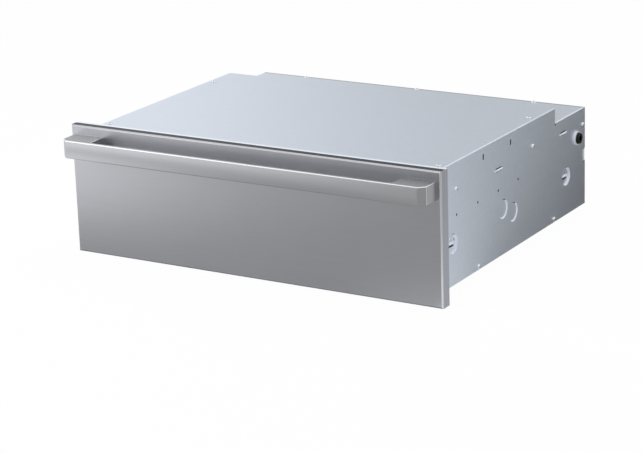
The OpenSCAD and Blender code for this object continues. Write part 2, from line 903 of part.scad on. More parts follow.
// A stretch of a ball race: part of a ring round the balls' centre line
module race(u, v, from, to) {
    reach = 3 * race_out;
    translate([u, v]) intersection() {
        difference() {
            circle(race_out);
            circle(race_in);
        }
        polygon(concat([[0, 0]],
            [for (i = [0:4]) let (a = from + (to - from) * i / 4) reach * [cos(a), sin(a)]]));
    }
}

// Slide sections, in distance inwards from the side wall and height from the slide's middle
module outer_section() {
    translate([0, -outer_v]) square([slide_sheet, 2 * outer_v]);
    for (s = [0, 1]) mirror([0, s]) race(outer_u, outer_v, 0, 180);
}

module middle_section() {
    web_v = outer_v - race_in - slide_sheet / 2;
    translate([middle_web_u, -web_v]) square([slide_sheet, 2 * web_v]);
    for (s = [0, 1]) mirror([0, s]) {
        race(outer_u, outer_v, race_low_angle, middle_race_angle);
        race(inner_u, inner_v, 0, 180);
    }
}

module inner_section() {
    web_v = inner_v - race_out * sin(360 - inner_race_angle);
    translate([slide_t - slide_sheet, -web_v]) square([slide_sheet, 2 * web_v]);
    for (s = [0, 1]) mirror([0, s]) race(inner_u, inner_v, race_low_angle, inner_race_angle);
}

// A section placed on the right hand side wall
module on_slide(y0, y1) {
    along_y(y0, y1) translate([slide_x, slide_z]) mirror([1, 0]) children();
}

module slide_outer() {
    color(zinc) difference() {
        on_slide(slide_start, slide_start + slide_l) outer_section();
        for (y = fix_ys) translate([0, y, slide_z]) {
            hook_openings(slide_x - 2 * slide_sheet, slide_x + over);
        }
    }
}

module slide_middle() {
    color(zinc) on_slide(slide_start, slide_start + slide_l) middle_section();
}

module slide_inner() {
    color(zinc) on_slide(slide_start, slide_start + slide_l) inner_section();
}

// Where the balls of one row lie along the slide
ball_pitch = (cage_l - 2 * ball_edge) / (ball_count - 1);
ball_ys = [for (i = [0:ball_count - 1]) cage_start + ball_edge + i * ball_pitch];

// A ball cage: a strip with an open pocket for each ball
module cage(u, v) {
    x1 = slide_x - u + race_in - cage_clear;
    top = v + cage_reach_share * race_in;
    color(bright) difference() {
        block([x1 - cage_sheet, cage_start, slide_z - top], [x1, cage_start + cage_l, slide_z + top]);
        for (y = ball_ys, s = [-1, 1]) bar_x(pocket_r, x1 - 2 * cage_sheet, x1 + over, y, slide_z + s * v);
    }
}

module balls(u, v) {
    color(bright) for (y = ball_ys, s = [-1, 1]) translate([slide_x - u, y, slide_z + s * v]) sphere(ball_r);
}

module slide_outer_left() { on_left() slide_outer(); }
module slide_outer_right() { slide_outer(); }
module slide_middle_left() { on_left() slide_middle(); }
module slide_middle_right() { slide_middle(); }
module slide_inner_left() { on_left() slide_inner(); }
module slide_inner_right() { slide_inner(); }
module outer_cage_left() { on_left() cage(outer_u, outer_v); }
module outer_cage_right() { cage(outer_u, outer_v); }
module inner_cage_left() { on_left() cage(inner_u, inner_v); }
module inner_cage_right() { cage(inner_u, inner_v); }
module outer_balls_left() { on_left() balls(outer_u, outer_v); }
module outer_balls_right() { balls(outer_u, outer_v); }
module inner_balls_left() { on_left() balls(inner_u, inner_v); }
module inner_balls_right() { balls(inner_u, inner_v); }

// Pan head screws that hold the casing together
module case_screws() {
    color(bright) {
        on_both() for (p = side_screw_places) translate([half_w, p[0], p[1]])
            pan_head(pan_head_r, pan_head_h, shank_r, shank_l);
        for (p = cover_screw_places) translate([p[0], p[1], top_z]) rotate([0, -90, 0])
            pan_head(pan_head_r, pan_head_h, shank_r, shank_l);
        for (x = lid_screw_xs) translate([x, lid_screw_y, low_top_z]) rotate([0, -90, 0])
            pan_head(pan_head_r, pan_head_h, shank_r, shank_l);
    }
}

// Screws that hold the slides in their recesses
module slide_screws() {
    x = half_w - recess_depth;
    color(bright) on_both() for (y = fix_ys) translate([x, y - slide_screw_y, slide_z + slide_screw_z])
        pan_head(slide_head_r, slide_head_h, slide_shank_r, x - slide_x + slide_sheet);
}

// Stainless skin of the front panel: a shallow tray with a bevelled face
module front_skin() {
    b = panel_bevel;
    x = panel_w / 2;
    color(stainless) difference() {
        intersection() {
            translate([0, 0, panel_low]) linear_extrude(panel_h) polygon([
                [-x, panel_back], [-x, panel_front + b], [-x + b, panel_front],
                [x - b, panel_front], [x, panel_front + b], [x, panel_back]
            ]);
            along_x(-x, x) polygon([
                [panel_back, panel_low], [panel_front + b, panel_low], [panel_front, panel_low + b],
                [panel_front, panel_top - b], [panel_front + b, panel_top], [panel_back, panel_top]
            ]);
        }
        block([-x + b, panel_front + panel_sheet, panel_low + b],
              [x - b, panel_front + b, panel_top - b]);
        block([-x + panel_sheet, panel_front + b, panel_low + panel_sheet],
              [x - panel_sheet, panel_back + over, panel_top - panel_sheet]);
        handle_screw_places() bar_y(handle_screw_r + screw_slip, panel_front - over,
                                    panel_front + b + over, 0, 0);
    }
}

// Where the handle's screws lie: two behind each post
module handle_screw_places() {
    for (s = [-1, 1], t = [-1, 1])
        translate([s * handle_screw_x, 0, handle_top - handle_h / 2 + t * handle_screw_gap]) children();
}

module front_insulation() {
    x = panel_w / 2 - panel_bevel - slip;
    color(white_wool) difference() {
        block([-x, panel_front + panel_sheet, panel_low + panel_bevel + slip],
              [x, panel_back - panel_sheet, panel_top - panel_bevel - slip]);
        handle_screw_places() bar_y(handle_screw_head_r + slip, panel_front,
                                    panel_front + panel_sheet + wool_gap, 0, 0);
    }
}

// The sheet that closes the panel's back
module front_backing() {
    x = panel_w / 2 - panel_sheet - screw_slip;
    color(galvanised) block([-x, panel_back - panel_sheet, panel_low + panel_sheet + screw_slip],
                            [x, panel_back, panel_top - panel_sheet - screw_slip]);
}

// Handle: one bar with an end post at each side, crowned and bevelled along its face
module handle() {
    x = handle_l / 2;
    c = handle_chamfer;
    bar_back = handle_face + handle_bar;
    gap_x = x - handle_post;
    r = handle_fillet;
    z0 = handle_top - handle_h;
    b = handle_bevel;
    crown_r = (handle_h * handle_h / 4 + handle_crown * handle_crown) / (2 * handle_crown);
    color(stainless) difference() {
        intersection() {
            translate([0, 0, z0]) linear_extrude(handle_h) difference() {
                polygon([
                    [-x, panel_front], [-x, handle_face + c], [-x + c, handle_face],
                    [x - c, handle_face], [x, handle_face + c], [x, panel_front]
                ]);
                translate([-gap_x, bar_back + r]) square([2 * gap_x, handle_out]);
                translate([-gap_x + r, bar_back]) square([2 * (gap_x - r), handle_out]);
                for (s = [-1, 1]) translate([s * (gap_x - r), bar_back + r]) circle(r);
            }
            along_x(-x - over, x + over) intersection() {
                polygon([
                    [panel_front + over, z0], [handle_face + b, z0], [handle_face, z0 + b],
                    [handle_face, handle_top - b], [handle_face + b, handle_top],
                    [panel_front + over, handle_top]
                ]);
                translate([handle_face + crown_r, z0 + handle_h / 2]) circle(crown_r, $fn = 256);
            }
        }
        handle_screw_places() bar_y(handle_screw_r + screw_slip, panel_front - handle_screw_in - over,
                                    panel_front + over, 0, 0);
    }
}

module handle_screws() {
    head_y = panel_front + panel_sheet;
    color(bright) handle_screw_places() {
        bar_y(handle_screw_r, panel_front - handle_screw_in, head_y, 0, 0);
        bar_y(handle_screw_head_r, head_y, head_y + handle_screw_head_h, 0, 0);
    }
}

// Side of the drawer body, folded in at the front, top and bottom
module drawer_side() {
    x = drawer_x - drawer_sheet;
    f = drawer_flange;
    color(stainless) {
        block([x, panel_back, drawer_low], [drawer_x, drawer_end, rim_z - slip]);
        block([x - f, panel_back, drawer_low], [x, drawer_end, drawer_low + drawer_sheet]);
        block([x - f, panel_back, side_top - slip], [x, drawer_end, rim_z - slip]);
        block([x - f, panel_back, drawer_low], [x, panel_back + drawer_sheet, rim_z - slip]);
    }
}

module drawer_side_left() {
    on_left() drawer_side();
}

module drawer_side_right() {
    drawer_side();
}

// Rear wall of the drawer body
module drawer_back() {
    x = drawer_x - drawer_sheet;
    low = drawer_low + drawer_sheet;
    color(stainless) {
        block([-x, drawer_end - drawer_sheet, low], [x, drawer_end, side_top - slip]);
        block([-x + drawer_flange, drawer_end - drawer_flange, side_top - slip],
              [x - drawer_flange, drawer_end, rim_z - slip]);
    }
}

// Wall between the controls and the warming pan
module drawer_front_wall() {
    x = drawer_x - drawer_sheet;
    low = drawer_low + drawer_sheet;
    color(stainless) {
        block([-x, front_depth - drawer_sheet, low], [x, front_depth, side_top - slip]);
        block([-x + drawer_flange, front_depth - drawer_sheet, side_top - slip],
              [x - drawer_flange, front_depth + drawer_flange, rim_z - slip]);
        block([-x + drawer_flange, panel_back, low], [x - drawer_flange, front_depth, low + drawer_sheet]);
    }
}

// The removable warming pan, hung by its rim
module warming_pan() {
    wall = pan_corner - pan_rim;
    f = pan_fillet;
    rim = rim_z - slip;
    color(bright) translate([0, pan_y, 0]) {
        round_the_rim(pan_w, pan_d, pan_corner) {
            translate([wall - pan_wall, rim]) square([pan_rim + pan_wall, pan_wall]);
            translate([wall - pan_wall, pan_base + f]) square([pan_wall, rim - pan_base - f]);
            translate([wall - f, pan_base + f]) intersection() {
                difference() {
                    circle(f);
                    circle(f - pan_wall);
                }
                translate([0, -f]) square([f, f]);
            }
            translate([0, pan_base]) square([wall - f, pan_wall]);
        }
        block([-pan_w / 2 + pan_corner, -pan_d / 2 + pan_corner, pan_base],
              [pan_w / 2 - pan_corner, pan_d / 2 - pan_corner, pan_base + pan_wall]);
    }
}

// Rack standing in the pan: a frame of thick wire on legs, and thin rods welded across it
module rack_frame() {
    y0 = pan_y - rack_d / 2 + rack_corner;
    leg_pitch = (rack_d - 2 * rack_corner) / (rack_legs - 1);
    color(bright) {
        translate([0, pan_y, rack_z]) round_the_rim(rack_w, rack_d, rack_corner)
            translate([rack_corner, 0]) circle(rack_wire);
        for (s = [-1, 1], i = [0:rack_legs - 1])
            bar_z(rack_wire, pan_base + pan_wall, rack_z, s * rack_w / 2, y0 + i * leg_pitch);
    }
}

module rack_rods() {
    rods = floor((rack_w - 2 * rack_corner) / rack_pitch);
    reach = rack_d / 2 + rod_over;
    color(bright) for (i = [0:rods])
        bar_y(rack_rod, pan_y - reach, pan_y + reach, (i - rods / 2) * rack_pitch,
              rack_z + rack_wire + rack_rod);
}

// Controls
fascia_x = drawer_x - drawer_sheet;
vent_x = vent_x_share * drawer_x;
button_xs = [for (i = [0:3]) (i - 1.5) * button_pitch];
vent_xs = [for (i = [0:vent_count - 1]) vent_x + (i - (vent_count - 1) / 2) * vent_open_pitch];
tab_x = vent_x - slider_tab_x_share * vent_w;
fascia_low = rim_z - slip;

module button_outline(grow) {
    round_rect(button_l + 2 * grow, button_w + 2 * grow, button_corner + grow);
}

// Top plate of the drawer front, hidden while the drawer is shut
module control_fascia() {
    color([0.16, 0.16, 0.17]) difference() {
        block([-fascia_x, panel_back, fascia_low], [fascia_x, front_depth - slip, fascia_low + fascia_t]);
        for (x = button_xs) translate([x, button_y, fascia_low - over])
            linear_extrude(fascia_t + 2 * over) button_outline(button_gap);
        for (x = button_xs)
            bar_z(light_r + screw_slip, fascia_low - over, fascia_low + fascia_t + over, x, light_y);
        for (x = vent_xs) translate([x, front_depth / 2, fascia_low - over])
            linear_extrude(fascia_t + 2 * over) rotate(90) slot_outline(vent_open_l, vent_open_w);
        translate([tab_x + slider_travel / 2, front_depth / 2, fascia_low - over])
            linear_extrude(fascia_t + 2 * over)
                slot_outline(slider_tab_l + slider_travel + 2 * fascia_gap, slider_tab_w + 2 * fascia_gap);
    }
}

// Box under the fascia that carries the buttons' switches
module control_housing() {
    w = housing_w / 2;
    y1 = housing_y + housing_d;
    color(black) difference() {
        block([-w, housing_y, fascia_low - housing_drop], [w, y1, fascia_low]);
        block([-w + housing_wall, housing_y + housing_wall, fascia_low - button_depth],
              [w - housing_wall, y1 - housing_wall, fascia_low + over]);
        for (x = button_xs)
            bar_z(button_stem + button_gap, fascia_low - housing_drop + housing_wall,
                  fascia_low - button_depth + over, x, button_y);
    }
}

module indicator_lights() {
    color([0.8, 0.3, 0.1]) for (x = button_xs) {
        bar_z(light_r, fascia_low - light_body, fascia_low + fascia_t, x, light_y);
        bar_z(light_r + light_lip, fascia_low - light_body, fascia_low, x, light_y);
    }
}

// A push button: cap through the fascia, a flange that keeps it in, and a stem
module button(i) {
    top = fascia_low + fascia_t + button_proud;
    flange_z = fascia_low - fascia_gap - button_flange;
    color([0.75, 0.75, 0.77]) translate([button_xs[i], button_y, 0]) {
        translate([0, 0, flange_z]) linear_extrude(top - flange_z) button_outline(0);
        translate([0, 0, flange_z]) linear_extrude(button_flange) button_outline(1.5 * button_gap);
        bar_z(button_stem, fascia_low - button_depth - button_travel, flange_z, 0, 0);
    }
}

module power_button() { button(0); }
module cooler_button() { button(1); }
module warmer_button() { button(2); }
module timer_button() { button(3); }

slider_top = fascia_low - fascia_gap;
guide_x0 = vent_x - vent_w / 2 - slider_travel;
guide_x1 = vent_x + vent_w / 2 + 2 * slider_travel;

// Slotted plate that opens and closes the moisture vent
module vent_slider() {
    y = front_depth / 2;
    color([0.75, 0.75, 0.77]) difference() {
        union() {
            block([vent_x - vent_w / 2, y - slider_w / 2, slider_top - slider_t],
                  [vent_x + vent_w / 2, y + slider_w / 2, slider_top]);
            translate([tab_x, y, slider_top - slider_t])
                linear_extrude(slider_t + fascia_gap + fascia_t + slider_tab_h)
                    slot_outline(slider_tab_l, slider_tab_w);
        }
        for (x = vent_xs) translate([x - slider_travel, y, slider_top - slider_t - over])
            linear_extrude(slider_t + 2 * over) rotate(90)
                slot_outline(vent_open_l, vent_open_w - fascia_gap);
    }
}

// Channel under the fascia in which the vent slider runs
module vent_guide() {
    y = front_depth / 2;
    d = slider_w / 2 + fascia_gap;
    low = slider_top - slider_t - fascia_gap;
    color(black) difference() {
        block([guide_x0, y - d - guide_wall, low - guide_t], [guide_x1, y + d + guide_wall, fascia_low]);
        block([guide_x0 + guide_wall, y - d, low], [guide_x1 - guide_wall, y + d, fascia_low + over]);
        block([guide_x0 + guide_wall + guide_lip, y - d + guide_lip, low - guide_t - over],
              [guide_x1 - guide_wall - guide_lip, y + d - guide_lip, low + over]);
    }
}

side_panel_left();
side_panel_right();
top_cover();
rear_lid();
base_pan();
rear_panel();
bulkhead();
front_frame();
cavity_roof();
side_liner_left();
side_liner_right();
insulation_batts();
insulation_base();
element_tray();
heating_element();
element_clips();
temperature_probe();
limit_thermostat();
control_board();
terminal_block();
cable_gland();
gland_ring();
door_gasket();
slide_outer_left();
slide_outer_right();
case_screws();
slide_screws();
slide_middle_left();
slide_middle_right();
outer_cage_left();
outer_cage_right();
inner_cage_left();
inner_cage_right();
outer_balls_left();
outer_balls_right();
inner_balls_left();
inner_balls_right();
slide_inner_left();
slide_inner_right();
front_skin();
front_insulation();
front_backing();
handle();
handle_screws();
drawer_side_left();
drawer_side_right();
drawer_back();
drawer_front_wall();
warming_pan();
rack_frame();
rack_rods();
control_fascia();
control_housing();
indicator_lights();
power_button();
cooler_button();
warmer_button();
timer_button();
vent_slider();
vent_guide();
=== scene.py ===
import json
import math

import bmesh
import bpy
from mathutils import Matrix, Vector

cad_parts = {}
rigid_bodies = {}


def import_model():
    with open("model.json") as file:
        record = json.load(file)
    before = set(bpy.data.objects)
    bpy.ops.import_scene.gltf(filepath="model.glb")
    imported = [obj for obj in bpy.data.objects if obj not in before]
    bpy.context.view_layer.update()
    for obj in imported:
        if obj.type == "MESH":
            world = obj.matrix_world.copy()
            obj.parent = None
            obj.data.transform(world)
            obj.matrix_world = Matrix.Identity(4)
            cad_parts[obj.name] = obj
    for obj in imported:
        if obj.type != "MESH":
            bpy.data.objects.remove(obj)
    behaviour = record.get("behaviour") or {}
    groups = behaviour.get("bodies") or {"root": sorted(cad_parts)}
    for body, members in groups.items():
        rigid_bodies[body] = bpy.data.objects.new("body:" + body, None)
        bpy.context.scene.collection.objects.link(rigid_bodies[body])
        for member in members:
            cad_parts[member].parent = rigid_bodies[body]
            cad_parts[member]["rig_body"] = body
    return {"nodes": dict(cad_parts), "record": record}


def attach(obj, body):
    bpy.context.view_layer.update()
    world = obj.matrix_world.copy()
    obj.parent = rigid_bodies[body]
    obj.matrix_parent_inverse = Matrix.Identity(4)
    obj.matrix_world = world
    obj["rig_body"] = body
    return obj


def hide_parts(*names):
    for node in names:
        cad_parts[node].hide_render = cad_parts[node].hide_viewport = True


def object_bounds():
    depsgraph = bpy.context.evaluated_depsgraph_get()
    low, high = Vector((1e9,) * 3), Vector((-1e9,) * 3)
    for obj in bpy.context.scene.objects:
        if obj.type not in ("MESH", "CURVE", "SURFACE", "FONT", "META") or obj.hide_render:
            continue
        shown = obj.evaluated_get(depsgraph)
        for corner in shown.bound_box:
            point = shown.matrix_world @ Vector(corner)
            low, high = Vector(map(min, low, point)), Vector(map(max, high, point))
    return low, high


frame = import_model()
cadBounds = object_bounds()
nodes = frame["nodes"]
scene = bpy.context.scene
mm = 0.001


def hexColour(text):
    # sRGB hex to linear
    values = []
    for i in (1, 3, 5):
        c = int(text[i:i + 2], 16) / 255
        values.append(c / 12.92 if c <= 0.04045 else ((c + 0.055) / 1.055) ** 2.4)
    return (*values, 1.0)


def addNode(tree, kind, settings=None, **inputs):
    # An input is given by its name, or by its number as i0, i1 and so on
    node = tree.nodes.new(kind)
    for key, value in (settings or {}).items():
        setattr(node, key, value)
    for key, value in inputs.items():
        numbered = key[0] == "i" and key[1:].isdigit()
        socket = node.inputs[int(key[1:]) if numbered else key.replace("_", " ")]
        if isinstance(value, bpy.types.NodeSocket):
            tree.links.new(value, socket)
        else:
            socket.default_value = value
    return node


def newMaterial(name, **sockets):
    made = bpy.data.materials.new(name)
    made.use_nodes = True
    tree = made.node_tree
    shader = tree.nodes["Principled BSDF"]
    for key, value in sockets.items():
        shader.inputs[key.replace("_", " ")].default_value = value
    return made, tree, shader


def setSurface(tree, shader, look, toneShare, height, roughShare=None):
    # Colour between the look's two tones, relief from the height, and roughness between its two limits
    tone = addNode(tree, "ShaderNodeMix", {"data_type": "RGBA"}, Factor=toneShare, i6=hexColour(look["dark"]),
                   i7=hexColour(look["light"])).outputs[2]
    bump = addNode(tree, "ShaderNodeBump", Strength=look["bump"], Distance=look["depth"], Height=height)
    tree.links.new(tone, shader.inputs["Base Color"])
    tree.links.new(bump.outputs[0], shader.inputs["Normal"])
    if roughShare is not None:
        low, high = look["rough"]
        rough = addNode(tree, "ShaderNodeMapRange", Value=roughShare, To_Min=low, To_Max=high)
        tree.links.new(rough.outputs[0], shader.inputs["Roughness"])


def perMetre(gaps):
    return [1 / (gap * mm) for gap in gaps]


def rolledMetal(name, look):
    # Fine lines or grain, and broad clouds from rolling
    made, tree, shader = newMaterial(name, Metallic=look.get("metallic", 1.0))
    place = addNode(tree, "ShaderNodeTexCoord").outputs["Object"]
    gaps = look["lines"] if "lines" in look else (look["spacing"],) * 3
    lines = addNode(tree, "ShaderNodeMapping", Vector=place, Scale=perMetre(gaps)).outputs[0]
    fine = addNode(tree, "ShaderNodeTexNoise", Vector=lines, Scale=1.0, Detail=3.0, Roughness=0.6).outputs[0]
    broad = addNode(tree, "ShaderNodeTexNoise", Vector=place, Scale=1 / look["cloud"], Detail=2.0).outputs[0]
    both = addNode(tree, "ShaderNodeMix", Factor=look.get("cloudShare", 0.5), i2=fine, i3=broad).outputs[0]
    setSurface(tree, shader, look, both, fine, both)
    if "across" in look:
        # Brush lines blur reflections across their own direction
        shader.inputs["Anisotropic"].default_value = look["stretch"]
        x, y, z = look["across"]
        across = addNode(tree, "ShaderNodeCombineXYZ", X=x, Y=y, Z=z).outputs[0]
        tree.links.new(across, shader.inputs["Tangent"])
    return made


def galvanisedMetal(name, look):
    # Zinc crystals over the fine lines of rolling
    made, tree, shader = newMaterial(name, Metallic=1.0)
    place = addNode(tree, "ShaderNodeTexCoord").outputs["Object"]
    crystals = addNode(tree, "ShaderNodeTexVoronoi", Vector=place, Scale=1 / look["crystal"]).outputs["Color"]
    grain = addNode(tree, "ShaderNodeSeparateColor", Color=crystals).outputs[0]
    lines = addNode(tree, "ShaderNodeMapping", Vector=place, Scale=perMetre(look["lines"])).outputs[0]
    fine = addNode(tree, "ShaderNodeTexNoise", Vector=lines, Scale=1.0, Detail=3.0).outputs[0]
    both = addNode(tree, "ShaderNodeMix", Factor=look["crystalShare"], i2=fine, i3=grain).outputs[0]
    setSurface(tree, shader, look, both, fine, both)
    return made


def moulded(name, look):
    # Plastic, rubber or lacquer with a fine grain and a faint cloud of colour
    made, tree, shader = newMaterial(name, IOR=look.get("ior", 1.5),
                                     Specular_IOR_Level=look.get("sheen", 0.5))
    place = addNode(tree, "ShaderNodeTexCoord").outputs["Object"]
    grain = addNode(tree, "ShaderNodeTexNoise", Vector=place, Scale=1 / look["grain"], Detail=2.0).outputs[0]
    cloud = addNode(tree, "ShaderNodeTexNoise", Vector=place, Scale=1 / look["cloud"], Detail=2.0).outputs[0]
    setSurface(tree, shader, look, cloud, grain, grain)
    return made


def woolBoard(name, look):
    # Tangled fibres, with paler and darker tufts
    made, tree, shader = newMaterial(name, Roughness=0.95)
    place = addNode(tree, "ShaderNodeTexCoord").outputs["Object"]
    tufts = addNode(tree, "ShaderNodeTexNoise", Vector=place, Scale=1 / look["tuft"], Detail=4.0,
                    Distortion=1.5)
    stretched = addNode(tree, "ShaderNodeMapping", Vector=place, Scale=perMetre(look["fibres"])).outputs[0]
    fibres = addNode(tree, "ShaderNodeTexNoise", Vector=stretched, Scale=1.0, Detail=4.0, Distortion=2.0)
    both = addNode(tree, "ShaderNodeMix", Factor=0.5, i2=tufts.outputs[0], i3=fibres.outputs[0]).outputs[0]
    setSurface(tree, shader, look, both, both)
    return made


